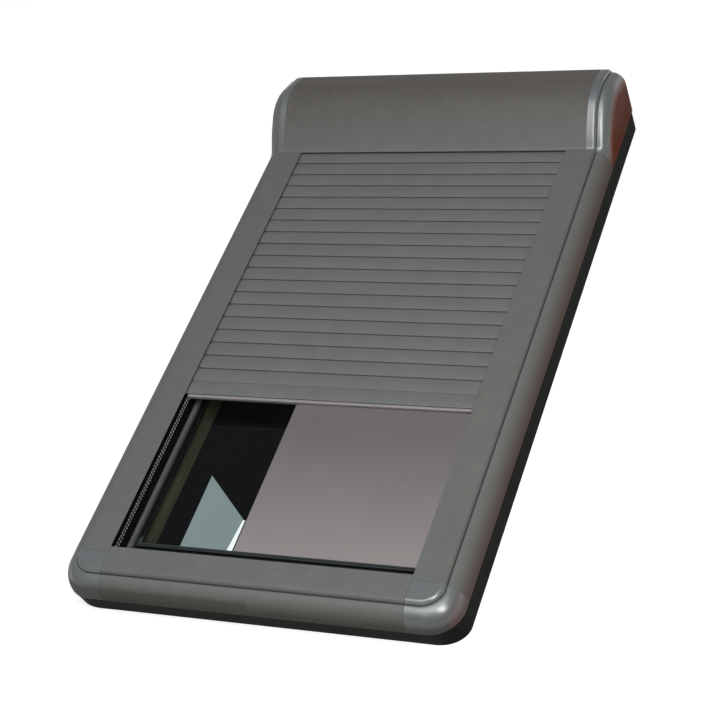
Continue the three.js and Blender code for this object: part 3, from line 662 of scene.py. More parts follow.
# %% [markdown]
# ## Drawing profiles
#
# Nearly every part of a shutter is a profile: bent sheet, extruded aluminium or extruded plastic. So the main
# tool is a pen that draws a profile edge by edge with bmesh operators. It goes ahead, turns and bends like a
# hand tool, and the line that it leaves is then pulled straight or swung round a corner. All lengths are given
# in millimetres.

# %% The pen
UP = Vector((0, 0, 1))


def verts_in(geometry):
    """The corner points among some geometry."""
    return [g for g in geometry if isinstance(g, bmesh.types.BMVert)]


def edges_in(geometry):
    """The edges among some geometry."""
    return [g for g in geometry if isinstance(g, bmesh.types.BMEdge)]


class Pen:
    """Draws a line of edges in one upright plane. Turns are clockwise, seen with ahead to the right."""

    def __init__(self, bm, origin, ahead, along, height):
        self.bm = bm
        self.origin = Vector(origin) * MM
        self.ahead = Vector(ahead)
        self.heading = Vector(ahead)
        self.axis = UP.cross(self.ahead)
        self.tip = bmesh.ops.create_vert(bm, co=self.spot(along, height))["vert"][0]

    def spot(self, along, height):
        """The place of a point of the profile."""
        return self.origin + (self.ahead * along + UP * height) * MM

    def step(self, vector):
        """One edge by a vector in metres."""
        self.tip = bmesh.ops.extrude_vert_indiv(self.bm, verts=[self.tip])["verts"][0]
        bmesh.ops.translate(self.bm, verts=[self.tip], vec=vector)

    def go(self, length):
        """A straight edge ahead."""
        self.step(self.heading * length * MM)

    def to(self, *spots):
        """Straight edges through some places, each given as along and height."""
        for along, height in spots:
            self.step(self.spot(along, height) - self.tip.co)

    def turn(self, degrees):
        self.heading = Matrix.Rotation(math.radians(degrees), 3, self.axis) @ self.heading

    def bend(self, radius, degrees, steps, width=None):
        """An arc. With a width, the arc is squeezed to that width in the direction ahead."""
        side = Matrix.Rotation(math.radians(math.copysign(90, degrees)), 3, self.axis) @ self.heading
        centre = self.tip.co + side * radius * MM
        known = set(self.bm.verts)
        made = bmesh.ops.spin(self.bm, geom=[self.tip], cent=centre, axis=self.axis,
                              angle=math.radians(degrees), steps=steps)
        self.tip = verts_in(made["geom_last"])[0]
        if width:
            squeeze = Vector([1 + (width / radius - 1) * abs(a) for a in self.ahead])
            drawn = [v for v in self.bm.verts if v not in known]
            bmesh.ops.scale(self.bm, vec=squeeze, space=Matrix.Translation(-centre), verts=drawn)
        self.turn(degrees)


print("pen ready")

# %% Pulling, swinging and closing
WELD_MM = 0.01


def move(bm, verts, vector):
    """Moves corner points by a vector in millimetres."""
    bmesh.ops.translate(bm, verts=verts, vec=Vector(vector) * MM)


def weld(bm):
    """Joins corner points that lie on each other."""
    bmesh.ops.remove_doubles(bm, verts=bm.verts[:], dist=WELD_MM * MM)


def loose_edges(bm):
    """The profile line, while nothing else is in the mesh."""
    return [edge for edge in bm.edges if not edge.link_faces]


def verts_of(edges):
    """The corner points of some edges, each once."""
    return list({vert for edge in edges for vert in edge.verts})


def pull(bm, edges, vector):
    """Pulls a line of edges straight and gives back its far rim."""
    made = bmesh.ops.extrude_edge_only(bm, edges=edges)["geom"]
    move(bm, verts_in(made), vector)
    return edges_in(made)


def swing(bm, edges, centre, degrees, steps):
    """Swings a line of edges round an upright axis and gives back its far rim."""
    made = bmesh.ops.spin(bm, geom=verts_of(edges) + edges, cent=Vector(centre) * MM, axis=UP,
                          angle=math.radians(degrees), steps=steps)
    return edges_in(made["geom_last"])


def closed_loop(bm, origin, ahead, corners):
    """A closed profile through the given corners."""
    pen = Pen(bm, origin, ahead, *corners[0])
    pen.to(*corners[1:], corners[0])
    weld(bm)
    return loose_edges(bm)


def close_ends(bm):
    """Fills the open ends of a pulled closed profile and turns its faces outwards."""
    open_rims = [edge for edge in bm.edges if len(edge.link_faces) == 1]
    bmesh.ops.edgeloop_fill(bm, edges=open_rims)
    bmesh.ops.recalc_face_normals(bm, faces=bm.faces[:])


def bar(origin, ahead, corners, vector):
    """A closed profile, pulled straight and closed at both ends."""
    bm = bmesh.new()
    pull(bm, closed_loop(bm, origin, ahead, corners), vector)
    close_ends(bm)
    return bm


def face_up(bm):
    """Turns an open shell so that its outer side looks up."""
    weld(bm)
    bmesh.ops.recalc_face_normals(bm, faces=bm.faces[:])
    if sum(face.normal.z * face.calc_area() for face in bm.faces) < 0:
        bmesh.ops.reverse_faces(bm, faces=bm.faces[:])


print("profile helpers ready")

# %% [markdown]
# ## From mesh to piece
#
# A finished piece gets its wall, its eased edges, its finish and the body that it moves with, and the CAD node
# that it stands for is hidden. Weighted normals keep large flat faces flat beside small rounded edges, which is
# what makes sheet metal look like sheet metal. Pieces that come in pairs are drawn on the right and mirrored to
# the left.

# %% Finish a piece
EASE_LIMIT = math.radians(38)
SIDES = ("right", "left")


def piece(bm, name, slot, body, *nodes, wall=0.0, ease=0.4, segments=2, finish=None):
    """Turns a bmesh into a named object of the model."""
    mesh = bpy.data.meshes.new(name)
    bm.to_mesh(mesh)
    bm.free()
    made = bpy.data.objects.new(name, mesh)
    scene.collection.objects.link(made)
    mesh.shade_smooth()
    mesh.materials.append(FINISH[finish or slot])
    if wall:
        solid = made.modifiers.new("wall", "SOLIDIFY")
        solid.thickness = wall * MM
        solid.offset = -1
        solid.use_even_offset = True
    if ease:
        bevel = made.modifiers.new("eased_edges", "BEVEL")
        bevel.width = ease * MM
        bevel.segments = segments
        bevel.limit_method = "ANGLE"
        bevel.angle_limit = EASE_LIMIT
        bevel.use_clamp_overlap = True
    weighted = made.modifiers.new("flat_faces", "WEIGHTED_NORMAL")
    weighted.keep_sharp = True
    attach(made, body)
    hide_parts(*nodes)
    return made


def on_side(bm, side):
    """Leaves a piece on the right or mirrors it to the left."""
    if side == "left":
        bmesh.ops.scale(bm, vec=(-1, 1, 1), verts=bm.verts[:])
        bmesh.ops.reverse_faces(bm, faces=bm.faces[:])
    return bm


def box_mm(node):
    """The lowest and highest corner of a CAD node, in millimetres."""
    low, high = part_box(node)
    return [c / MM for c in low], [c / MM for c in high]


print("slat_01 in the CAD:", [[round(c, 1) for c in corner] for corner in box_mm("slat_01")])

# %% [markdown]
# ## Cladding
#
# The side and bottom covers are one bent and rolled section: a flat plate, a rounded edge, a narrow dark groove
# and a bulge that falls to the black base. The groove is the line that the eye follows round the whole
# shutter, so it gets real depth. The same rim is used for all covers and corners.

# %% The cover's rim
PLATE_Z = 104.0
INNER_X = 316.0
CORNER_X = 350.5
CORNER_Y = -654.0
PLATE_EDGE = 23.2
EDGE_RADIUS = 8.0
GROOVE_DEPTH = 4.0
GROOVE_WIDTH = 2.3
BULGE_DROP = 43.0
BULGE_REACH = 28.5
LAND = 2.0
COVER_WALL = 1.0
COVER_EASE = 0.2
SEAM_GAP = 0.6
CORNER_REACH = PLATE_EDGE + EDGE_RADIUS + GROOVE_WIDTH + BULGE_REACH


def draw_rim(pen):
    """Rounded edge, groove, bulge and land, drawn from the plate's edge outwards."""
    pen.bend(EDGE_RADIUS, 90, 10)
    pen.go(GROOVE_DEPTH)
    pen.turn(-90)
    pen.go(GROOVE_WIDTH)
    pen.turn(-90)
    pen.go(GROOVE_DEPTH)
    pen.turn(90)
    pen.bend(BULGE_DROP, 90, 18, width=BULGE_REACH)
    pen.go(LAND)


def cover(origin, ahead, *plate, vector):
    """A straight cover: its plate through some corners, its rim, and the pull along its length."""
    bm = bmesh.new()
    pen = Pen(bm, origin, ahead, *plate[0])
    pen.to(*plate[1:], (PLATE_EDGE, PLATE_Z))
    draw_rim(pen)
    pull(bm, loose_edges(bm), vector)
    face_up(bm)
    return bm


for side in SIDES:
    for length in ("lower", "upper"):
        node = f"side_cover_{length}_{side}"
        low, high = box_mm(node)
        run = high[1] - low[1] - (SEAM_GAP if length == "upper" else 0)
        bm = cover((CORNER_X, low[1], 0), (1, 0, 0), (INNER_X - CORNER_X, PLATE_Z), vector=(0, run, 0))
        piece(on_side(bm, side), "skin_" + node, "cladding", "shutter_frame", node, wall=COVER_WALL,
              ease=COVER_EASE)
print("covers reach x =", CORNER_X + CORNER_REACH)

# %% Bottom cover
LIP_DROP = 5.0

low, high = box_mm("bottom_cover")
plate_start = CORNER_Y - high[1]
bm = cover((low[0], CORNER_Y, 0), (0, -1, 0), (plate_start, PLATE_Z - LIP_DROP), (plate_start, PLATE_Z),
           vector=(high[0] - low[0], 0, 0))
piece(bm, "skin_bottom_cover", "cladding", "shutter_frame", "bottom_cover", wall=COVER_WALL)
print("bottom cover length in mm:", round(high[0] - low[0], 1))

# %% [markdown]
# The corner pieces are moulded. The same rim is swung a quarter turn, and the flat square inside it is one face
# that is filled in between the swung edge and two straight cuts. In the photograph the groove turns on a wider
# arc than the outer edge, so the points near it are drawn in afterwards, and those at the outer edge stay. The
# corners are glossier than the covers and a little bluer, which shows them as separate mouldings.

# %% Moulded corners
TAIL_Y = -638.5
WIDER_TURN = 10.0
CORNER_EASE = 0.9
TINY = 1e-6


def widen_turn(bm):
    """Lets the plate's edge and the groove turn on a wider arc than the outer edge of the bulge."""
    for vert in bm.verts:
        out = vert.co.xy - Vector((CORNER_X, CORNER_Y)) * MM
        if out.x > -TINY and out.y < TINY:
            share = min(max((CORNER_REACH - out.length / MM) / BULGE_REACH, 0), 1)
            out.normalize()
            vert.co.xy += Vector((out.x - 1, out.y + 1)) * WIDER_TURN * MM * share


def moulded_corner():
    """The right-hand corner moulding."""
    bm = bmesh.new()
    pen = Pen(bm, (INNER_X, CORNER_Y, 0), (0, -1, 0), PLATE_EDGE, PLATE_Z)
    first = pen.tip
    draw_rim(pen)
    rim = pull(bm, loose_edges(bm), (CORNER_X - INNER_X, 0, 0))
    rim = swing(bm, rim, (CORNER_X, CORNER_Y, 0), 90, 24)
    pull(bm, rim, (0, TAIL_Y - CORNER_Y, 0))
    widen_turn(bm)
    inner = bmesh.ops.extrude_vert_indiv(bm, verts=[first])["verts"]
    move(bm, inner, (0, TAIL_Y - CORNER_Y + PLATE_EDGE, 0))
    outer = bmesh.ops.extrude_vert_indiv(bm, verts=inner)["verts"]
    move(bm, outer, (CORNER_X + PLATE_EDGE - INNER_X, 0, 0))
    weld(bm)
    open_edges = [edge for edge in bm.edges if len(edge.link_faces) < 2]
    top = [edge for edge in open_edges if all(abs(v.co.z - PLATE_Z * MM) < TINY for v in edge.verts)]
    bmesh.ops.edgeloop_fill(bm, edges=top)
    face_up(bm)
    return bm


for side in SIDES:
    made = piece(on_side(moulded_corner(), side), "skin_corner_" + side, "moulded_grey", "shutter_frame",
                 "corner_cover_" + side, wall=COVER_WALL, ease=CORNER_EASE, segments=3)
print("corner faces:", len(made.data.polygons))

# %% [markdown]
# ## Black base profiles
#
# Under the cladding a black profile carries everything and seals to the roof. It is a closed extrusion: an
# outer skirt, a floor and an inner web. The skirt stands upright along the sides and leans in at the eaves, so
# the corners are rows of sections whose foot moves out step by step, bridged into one body.

# %% Base sections
BASE_TOP = 50.7
BASE_OUT = 61.0
SIDE_FOOT = 61.0
EAVES_FOOT = 48.0
BASE_WALL = 4.0
BASE_FLOOR = 3.0
WEB_WALL = 3.0
FLANGE_WIDTH = 22.5
BASE_EASE = 0.8


def skirt(out, foot):
    """Outer skirt of a base profile, as corners of its section."""
    return [(foot, 0), (out, BASE_TOP), (out - BASE_WALL, BASE_TOP), (foot - BASE_WALL, BASE_FLOOR)]


for side in SIDES:
    low, high = box_mm("base_side_right")
    web = low[0] - CORNER_X
    under = high[2] - WEB_WALL
    section = skirt(BASE_OUT, SIDE_FOOT) + [
        (web + WEB_WALL, BASE_FLOOR), (web + WEB_WALL, under), (web + FLANGE_WIDTH, under),
        (web + FLANGE_WIDTH, high[2]), (web, high[2]), (web, 0)]
    bm = bar((CORNER_X, low[1], 0), (1, 0, 0), section, (0, high[1] - low[1], 0))
    piece(on_side(bm, side), "profile_side_" + side, "black_plastic", "shutter_frame", "base_side_" + side,
          ease=BASE_EASE)

low, high = box_mm("base_bottom")
web = CORNER_Y - high[1]
section = skirt(BASE_OUT, EAVES_FOOT) + [
    (web + WEB_WALL, BASE_FLOOR), (web + WEB_WALL, high[2]), (web, high[2]), (web, 0)]
bm = bar((low[0], CORNER_Y, 0), (0, -1, 0), section, (high[0] - low[0], 0, 0))
piece(bm, "profile_bottom", "black_plastic", "shutter_frame", "base_bottom", ease=BASE_EASE)
print("base web at the bottom, from the corner's centre:", round(web, 1))

# %% Base corners and rear
CORNER_STEPS = 18
REAR_STEPS = 10
REAR_RADIUS = 29.5
CORNER_WEB = 2.0


def turned_base(centre, stations, out):
    """Bridges sections that stand at growing angles round a centre. A station is an angle, a foot and a shift."""
    bm = bmesh.new()
    before = []
    for degrees, foot, shift in stations:
        ahead = Matrix.Rotation(math.radians(degrees), 3, "Z") @ Vector((0, -1, 0))
        known = set(bm.edges)
        section = skirt(out, foot) + [(CORNER_WEB, BASE_FLOOR), (CORNER_WEB, 0)]
        closed_loop(bm, (centre[0] + shift, centre[1], 0), ahead, section)
        line = [edge for edge in bm.edges if edge not in known]
        if before:
            bmesh.ops.bridge_loops(bm, edges=before + line)
        before = line
    close_ends(bm)
    return bm


stations = [(0, EAVES_FOOT, INNER_X - CORNER_X)]
for step in range(CORNER_STEPS + 1):
    share = (1 - math.cos(math.pi * step / CORNER_STEPS)) / 2
    stations.append((90 * step / CORNER_STEPS, EAVES_FOOT + (SIDE_FOOT - EAVES_FOOT) * share, 0))
for side in SIDES:
    bm = turned_base((CORNER_X, CORNER_Y), stations, BASE_OUT)
    piece(on_side(bm, side), "profile_corner_" + side, "black_plastic", "shutter_frame", "base_corner_" + side,
          ease=BASE_EASE)

low, high = box_mm("base_rear")
rear_x, rear_y = high[0] - REAR_RADIUS, high[1] - REAR_RADIUS
quarter = [90 * step / REAR_STEPS for step in range(REAR_STEPS + 1)]
stations = [(90 + angle, REAR_RADIUS, 0) for angle in quarter]
stations += [(180 + angle, REAR_RADIUS, -2 * rear_x) for angle in quarter]
bm = turned_base((rear_x, rear_y), stations, REAR_RADIUS)
piece(bm, "profile_rear", "black_plastic", "shutter_frame", "base_rear", ease=BASE_EASE)
print("rear profile spans", round(2 * high[0], 1), "mm")

# %% [markdown]
# ## Headbox
#
# The headbox cover is one bent sheet: a small hollow foot where it meets the plates, a front slope that eases
# as it rises, a wide round crown, a falling top, a round back and a rear wall. Seen from the end it is an
# outline of tangent arcs, which is exactly what the pen draws.

# %% Headbox outline
SEAM_Y = 501.3
REAR_Y = 716.0
REAR_FOOT_Z = 51.0
FOOT_RADIUS = 10.0
FOOT_ANGLE = 49.0
CROWN_ANGLE = 35.0
SLOPE_RADIUS = 331.5
CROWN_RADIUS = 102.6
FALL_ANGLE = 16.0
BACK_RADIUS = 36.8
LEAST_BACK_RADIUS = 10.0
CAP_DROP = 57.0
SHEET_WALL = 0.9
HEADBOX_HALF = 361.2
CAP_REAR_INSET = 33.0


def draw_headbox(bm, x, drop):
    """The headbox's outline at one station, sunk square to itself by a drop."""
    steep, easy, falling = (math.sin(math.radians(a)) for a in (FOOT_ANGLE, CROWN_ANGLE, FALL_ANGLE))
    rear = REAR_Y - drop * CAP_REAR_INSET / CAP_DROP
    foot = FOOT_RADIUS + drop
    crown = CROWN_RADIUS - drop
    back = max(BACK_RADIUS - drop, LEAST_BACK_RADIUS)
    slope = SLOPE_RADIUS - drop
    used = foot * steep + slope * (steep - easy) + crown * (easy + falling) + back * (1 - falling)
    pen = Pen(bm, (x, 0, 0), (0, 1, 0), SEAM_Y, PLATE_Z - drop)
    pen.bend(foot, -FOOT_ANGLE, 9)
    pen.bend(slope, FOOT_ANGLE - CROWN_ANGLE, 10)
    pen.bend(crown, CROWN_ANGLE + FALL_ANGLE, 26)
    pen.go((rear - SEAM_Y - used) / math.cos(math.radians(FALL_ANGLE)))
    pen.bend(back, 90 - FALL_ANGLE, 12)
    pen.to((rear, REAR_FOOT_Z))


low, high = box_mm("headbox_cover")
bm = bmesh.new()
draw_headbox(bm, -HEADBOX_HALF, 0)
print("headbox top in mm:", round(max(v.co.z for v in bm.verts) / MM, 1), "CAD:", round(high[2], 1))
pull(bm, loose_edges(bm), (2 * HEADBOX_HALF, 0, 0))
face_up(bm)
piece(bm, "skin_headbox", "headbox_paint", "shutter_frame", "headbox_cover", wall=SHEET_WALL)

# %% [markdown]
# The end caps carry the rim of the side covers over the headbox. Each is a row of outlines, one for every
# point of the rim's section: the further out a point lies, the deeper its outline is sunk. Bridging them
# gives a shell whose strip, groove and bulge run over the hump without a break.

# %% Headbox end caps
CAP_INNER_X = 361.5
CAP_LAST_DROP = EDGE_RADIUS + BULGE_DROP
CAP_WALL = 2.6
CAP_EASE = 0.3


def cap_stations():
    """The rim's section as pairs of x and drop, read from a pen line."""
    bm = bmesh.new()
    pen = Pen(bm, (CORNER_X, 0, 0), (1, 0, 0), CAP_INNER_X - CORNER_X, PLATE_Z)
    pen.to((PLATE_EDGE, PLATE_Z))
    draw_rim(pen)
    pairs = []
    vert, came = bm.verts[:][0], None
    while vert:
        pairs.append((vert.co.x / MM, PLATE_Z - vert.co.z / MM))
        ways = [edge for edge in vert.link_edges if edge is not came]
        came = ways[0] if ways else None
        vert = came.other_vert(vert) if came else None
    bm.free()
    return [pair for pair in pairs if pair[1] < CAP_LAST_DROP + WELD_MM]


def end_cap():
    """The right-hand headbox end cap."""
    bm = bmesh.new()
    before = None
    for x, drop in cap_stations():
        known = set(bm.edges)
        draw_headbox(bm, x, drop)
        line = [edge for edge in bm.edges if edge not in known]
        if before:
            bmesh.ops.bridge_loops(bm, edges=before + line)
        before = line
    ends = [v for v in verts_of(before) if sum(edge in before for edge in v.link_edges) == 1]
    front, rear = sorted(ends, key=lambda v: v.co.y)
    foot = bmesh.ops.extrude_vert_indiv(bm, verts=[front])
    move(bm, foot["verts"], (0, 0, REAR_FOOT_Z - front.co.z / MM))
    sill = bmesh.ops.contextual_create(bm, geom=[foot["verts"][0], rear])
    bmesh.ops.edgeloop_fill(bm, edges=before + foot["edges"] + sill["edges"])
    face_up(bm)
    return bm


print("rim stations over the headbox:", len(cap_stations()))
# The caps wear the cap finish, with its red-brown painted reflection on the outer wall.
for side in SIDES:
    made = piece(on_side(end_cap(), side), "skin_headbox_end_" + side, "moulded_grey", "shutter_frame",
                 "headbox_end_" + side, wall=CAP_WALL, ease=CAP_EASE, finish="cap_grey")
print("end cap faces:", len(made.data.polygons))

# %% [markdown]
# ## Guide rails and brush seals
#
# The slats run in black rails under the plates' edges. Each rail's face carries two fine ribs, and a strip of
# nylon tufts seals the slats from below. The tufts are small tapered blocks set one by one, because a dotted
# line of light tips is what shows beside the glass.

# %% Guide rails
RAIL_CORNERS = [(316, 56.6), (341, 56.6), (341, 101.5), (338, 101.5), (338, 75.7), (316, 75.7), (316, 71.5),
                (316.8, 71.1), (316.8, 69.9), (316, 69.5), (316, 63.5), (316.8, 63.1), (316.8, 61.9), (316, 61.5)]

low, high = box_mm("guide_rail_right")
for side in SIDES:
    bm = bar((0, low[1], 0), (1, 0, 0), RAIL_CORNERS, (0, high[1] - low[1], 0))
    piece(on_side(bm, side), "rail_" + side, "black_plastic", "shutter_frame", "guide_rail_" + side, ease=0.25,
          finish="rail_black")
print("rail length in mm:", round(high[1] - low[1], 1))

# %% Brush seals
TUFT_PITCH = 8.0
TUFT_SIZE = (1.4, 4.6, 2.6)
TIP_TAPER = (1, 0.7, 0.6)
TUFT_MIDDLE = 0.75
TUFT_ROWS = (87.9, 81.4)
CARRIER_X = 316.9
CARRIER_CLEAR = 0.1
BACK_CLEAR = 0.2
CARRIER_SLOPE = (0.6, 0.8)

low, high = box_mm("brush_seal_right")
back, foot, top = high[0] - BACK_CLEAR, low[2] + CARRIER_CLEAR, high[2] - CARRIER_CLEAR
CARRIER_CORNERS = [(CARRIER_X, foot), (back, foot), (back, top), (CARRIER_X + CARRIER_SLOPE[0], top),
                   (CARRIER_X, top - CARRIER_SLOPE[1])]
count = int((high[1] - low[1]) / TUFT_PITCH) - 1
for side in SIDES:
    bm = bar((0, low[1], 0), (1, 0, 0), CARRIER_CORNERS, (0, high[1] - low[1], 0))
    tuft = bmesh.ops.create_cube(bm, size=MM)["verts"]
    bmesh.ops.scale(bm, vec=TUFT_SIZE, verts=tuft)
    bmesh.ops.scale(bm, vec=TIP_TAPER, verts=[v for v in tuft if v.co.x < 0])
    move(bm, tuft, (low[0] + TUFT_MIDDLE, low[1] + TUFT_PITCH, 0))
    shape = list({g for v in tuft for g in [v, *v.link_edges, *v.link_faces]})
    for row in TUFT_ROWS:
        for number in range(count):
            copy = bmesh.ops.duplicate(bm, geom=shape)["geom"]
            move(bm, verts_in(copy), (0, number * TUFT_PITCH, row))
    bmesh.ops.delete(bm, geom=tuft, context="VERTS")
    piece(on_side(bm, side), "brush_" + side, "brush_pile", "shutter_frame", "brush_seal_" + side, ease=0)
print("tufts on each side:", count * len(TUFT_ROWS))

# %% [markdown]
# ## The curtain
#
# A slat is rolled aluminium with a slightly cambered face. Its lower edge is a rounded lip that leans back into
# the joint, and its upper edge falls steeply into a neck that hooks under the next lip. That undercut is what
# draws the fine dark line between two slats, so each slat has the real shape and the line needs no paint.

# %% Slat section
SLAT_HALF = 336.0
SLAT_TOP_LIP = 95.35
LIP_RADIUS = 1.2
LIP_LEAN = 22.0
LIP_BACK = (1.1, 93.8)
LIP_FRONT = 0.4
CAMBER_RADIUS = 98.0
NECK_ANGLE = 62.0
NECK_Z = 93.0
NECK_RADIUS = 1.0
HOOK_WALL = 1.3
HOOK_REACH = 2.7
BODY_END = 1.2
UNDERSIDE_Z = 90.1
CHANNEL = ((2.6, UNDERSIDE_Z), (2.2, 91.8), (6.2, 91.8), (6.2, 93.8))
SLAT_COUNT = 22
SLAT_PITCH = 37.0
END_SLAT_LENGTH = 35.0
JOINT = 5.9
END_JOINT = 2.4
SLAT_EASE = 0.2


def slat(name, length, joint):
    """One slat with its lip, cambered face, neck and hook."""
    foot_y = box_mm(name)[0][1]
    camber = math.degrees(math.asin((length - joint) / 2 / CAMBER_RADIUS))
    bm = bmesh.new()
    pen = Pen(bm, (-SLAT_HALF, foot_y, 0), (0, 1, 0), *LIP_BACK)
    pen.to((LIP_FRONT, SLAT_TOP_LIP))
    pen.turn(-90 - LIP_LEAN)
    pen.bend(LIP_RADIUS, 90 + LIP_LEAN - camber, 6)
    pen.bend(CAMBER_RADIUS, 2 * camber, 8)
    pen.bend(NECK_RADIUS, NECK_ANGLE - camber, 4)
    neck_run = (pen.tip.co.z / MM - NECK_Z) / math.tan(math.radians(NECK_ANGLE))
    pen.to((pen.tip.co.y / MM - foot_y + neck_run, NECK_Z), (length + HOOK_REACH, NECK_Z),
           (length + HOOK_REACH, NECK_Z - HOOK_WALL), (length - BODY_END, NECK_Z - HOOK_WALL),
           (length - BODY_END, UNDERSIDE_Z), *CHANNEL, LIP_BACK)
    weld(bm)
    pull(bm, loose_edges(bm), (2 * SLAT_HALF, 0, 0))
    close_ends(bm)
    return piece(bm, "blade_" + name, "slat_paint", "curtain", name, ease=SLAT_EASE, segments=1)


for number in range(SLAT_COUNT):
    made = slat(f"slat_{number + 1:02d}", SLAT_PITCH, JOINT)
slat("end_slat", END_SLAT_LENGTH, END_JOINT)
top_z = max(v.co.z for v in made.data.vertices) / MM
print("slats:", SLAT_COUNT, "and the end slat, top of the camber at", round(top_z, 2), "mm")

# %% [markdown]
# The closing strip is plain aluminium. It hooks into the end slat's channel a little lower than the slat's
# face. A round nose catches the bright line, and the leg that meets the sill stands back behind it.

# %% Closing strip
NOSE_LOW = 91.6
NOSE_HIGH = 93.6
NOSE_RADIUS = 2.6
NOSE_TURN = 84
STRIP_TOP = 96.5
HOOK_TOP, HOOK_FOOT = 92.9, 91.7
HOOK_CLEAR = 0.5
SHOULDER, HOOK_FRONT, LEG_BACK, LEG_FRONT = 1.6, 1.4, 1.0, 3.4

low, high = box_mm("end_slat_seal")
end_foot = box_mm("end_slat")[0][1]
front, tip = low[1], high[1] - HOOK_CLEAR
bm = bmesh.new()
pen = Pen(bm, (low[0], 0, 0), (0, 1, 0), front, NOSE_LOW)
pen.to((front, NOSE_HIGH))
pen.turn(-90)
pen.bend(NOSE_RADIUS, NOSE_TURN, 6)
pen.to((end_foot - SHOULDER, STRIP_TOP), (end_foot - HOOK_FRONT, HOOK_TOP), (tip, HOOK_TOP), (tip, HOOK_FOOT),
       (end_foot - LEG_BACK, HOOK_FOOT), (end_foot - LEG_BACK, low[2]), (end_foot - LEG_FRONT, low[2]),
       (end_foot - LEG_FRONT, NOSE_LOW), (front, NOSE_LOW))
weld(bm)
pull(bm, loose_edges(bm), (high[0] - low[0], 0, 0))
close_ends(bm)
piece(bm, "closing_strip", "seal_strip", "curtain", "end_slat_seal", ease=0.3)
print("closing strip length in mm:", round(high[0] - low[0], 1))

# %% [markdown]
# ## The glazed light
#
# Below the curtain the window itself shows. Its rings are all made by insetting one rectangle again and again:
# every inset adds a loop, and sinking or raising it gives the ring its section with clean mitred corners.

# %% Rings by insetting


def blank(node, height, rim_drop):
    """The outside of a ring: one flat face over a node's outline, and its outer wall."""
    low, high = box_mm(node)
    bm = rectangle([c * MM for c in low], [c * MM for c in high], height * MM)
    inner = bm.faces[:][0]
    pull(bm, bm.edges[:], (0, 0, -rim_drop))
    return bm, inner


def inset(bm, face, width, height, lower_extra=0.0, upper_extra=0.0):
    """Insets the face, moves it to a height and widens the lower or upper bar."""
    bmesh.ops.inset_region(bm, faces=[face], thickness=width * MM, use_even_offset=True)
    middle = face.calc_center_median().y
    corners = list(face.verts)
    for vert in corners:
        vert.co.z = height * MM
    move(bm, [v for v in corners if v.co.y < middle], (0, lower_extra, 0))
    move(bm, [v for v in corners if v.co.y > middle], (0, -upper_extra, 0))


def ring(bm, inner, name, slot, node, **finish):
    """Opens the middle of an inset blank and makes it a piece."""
    bmesh.ops.delete(bm, geom=[inner], context="FACES_ONLY")
    face_up(bm)
    piece(bm, name, slot, "shutter_frame", node, **finish)


print("ring helpers ready")

# %% Sash cover
SASH_FLAT = 3.8
SASH_LOWER_BAR = 29.2
SASH_UPPER_BAR = 24.3
SASH_FALL = 0.3
SASH_ROUND = 4.4
ROUND_STEPS = 6
SASH_LIP = 0.4
SASH_CLEAR = 0.2

low, high = box_mm("sash_cover")
bm, inner = blank("sash_cover", high[2], high[2] - low[2])
edge_z = high[2] - SASH_FALL
inset(bm, inner, SASH_FLAT, edge_z, SASH_LOWER_BAR, SASH_UPPER_BAR)
for step in range(ROUND_STEPS):
    last, angle = (math.radians(90 * (step + more) / ROUND_STEPS) for more in (0, 1))
    inset(bm, inner, SASH_ROUND * (math.sin(angle) - math.sin(last)), edge_z - SASH_ROUND * (1 - math.cos(angle)))
inset(bm, inner, SASH_LIP, low[2] + SASH_CLEAR)
# The ring takes the darker, painted-shade copy of the cladding paint.
ring(bm, inner, "sash_ring", "cladding", "sash_cover", wall=1.6, ease=0.3, finish="sash_shaded_paint")
print("sash ring top in mm:", round(high[2], 1))

# %% Glazing gasket
low, high = box_mm("glazing_gasket")
top = high[2]
GASKET_INSETS = [(1.2, top, 0.4), (0.4, top - 2.8, 0.0), (1.1, top - 2.8, 0.5), (0.6, top - 0.2, 0.0),
                 (1.6, top - 0.4, 0.5), (0.2, top - 0.9, 0.0), (2.0, low[2] + 1.4, 0.3), (0.2, low[2] + 0.1, 0.0)]

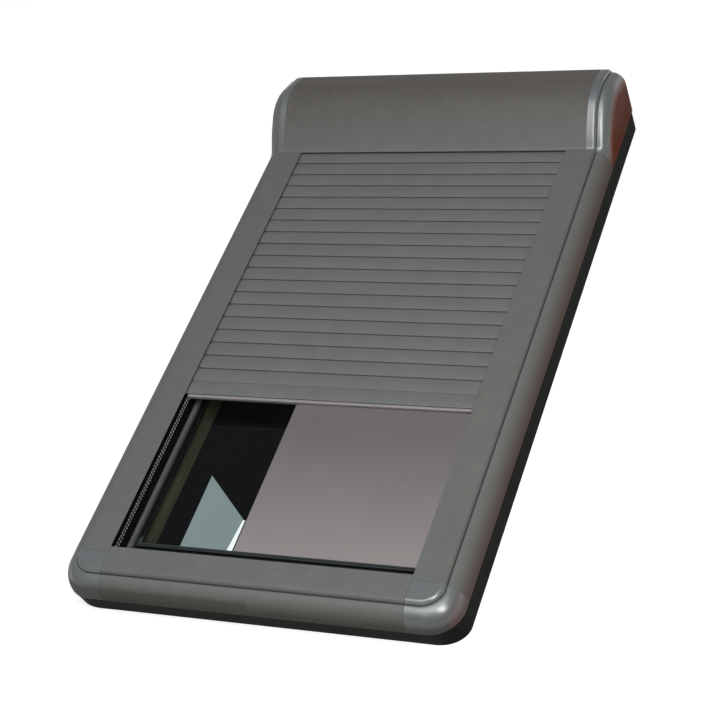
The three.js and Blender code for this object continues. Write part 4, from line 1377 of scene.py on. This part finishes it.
bm, inner = blank("glazing_gasket", top - 0.3, top - low[2] - 0.4)
for width, height, lower_extra in GASKET_INSETS:
    inset(bm, inner, width, height, lower_extra)
ring(bm, inner, "gasket_ring", "black_rubber", "glazing_gasket", wall=0.7, ease=0.15)
print("gasket height in mm:", round(top - low[2], 1))

# %% Pane and timber
SIGHT_X = 293.0
SIGHT_LOW_Y = -575.2
SIGHT_HIGH_Y = 455.3


def blocks(*corner_pairs):
    """Plain blocks of stock, each between two corners."""
    bm = bmesh.new()
    for low, high in corner_pairs:
        made = bmesh.ops.create_cube(bm, size=MM)["verts"]
        bmesh.ops.scale(bm, vec=[b - a for a, b in zip(low, high)], verts=made)
        move(bm, made, [(a + b) / 2 for a, b in zip(low, high)])
    bmesh.ops.recalc_face_normals(bm, faces=bm.faces[:])
    return bm


piece(blocks(box_mm("glass_pane")), "pane", "glass", "shutter_frame", "glass_pane", ease=0.3)
low, high = box_mm("inner_frame")
foot, top = low[2], high[2]
bm = blocks(((SIGHT_X, low[1], foot), high), (low, (-SIGHT_X, high[1], top)),
            ((-SIGHT_X, low[1], foot), (SIGHT_X, SIGHT_LOW_Y, top)),
            ((-SIGHT_X, SIGHT_HIGH_Y, foot), (SIGHT_X, high[1], top)))
piece(bm, "timber_frame", "timber", "shutter_frame", "inner_frame", ease=1.4, segments=3)
print("timber height in mm:", round(top - foot, 1))

# %% [markdown]
# ## The roller and its bearings
#
# Inside the headbox the CAD meshes are already the right shape: turned tubes, caps and stamped plates. They
# keep their meshes and only get the right finish.

# %% Finishes for the hidden pieces
HIDDEN = {
    "zinc_steel": ("headbox_floor", "bearing_plate_right", "bearing_plate_left", "roller_tube", "idler_pin"),
    "slat_paint": ("wound_slats",),
    "motor_paint": ("tube_motor",),
    "black_plastic": ("motor_head", "drive_crown", "drive_wheel", "idler_cap"),
}
for slot, nodes in HIDDEN.items():
    for node in nodes:
        slots = NODES[node].data.materials
        for number in range(len(slots)):
            slots[number] = FINISH[slot]
        if not len(slots):
            slots.append(FINISH[slot])
print("CAD pieces with a new finish:", sum(len(nodes) for nodes in HIDDEN.values()))
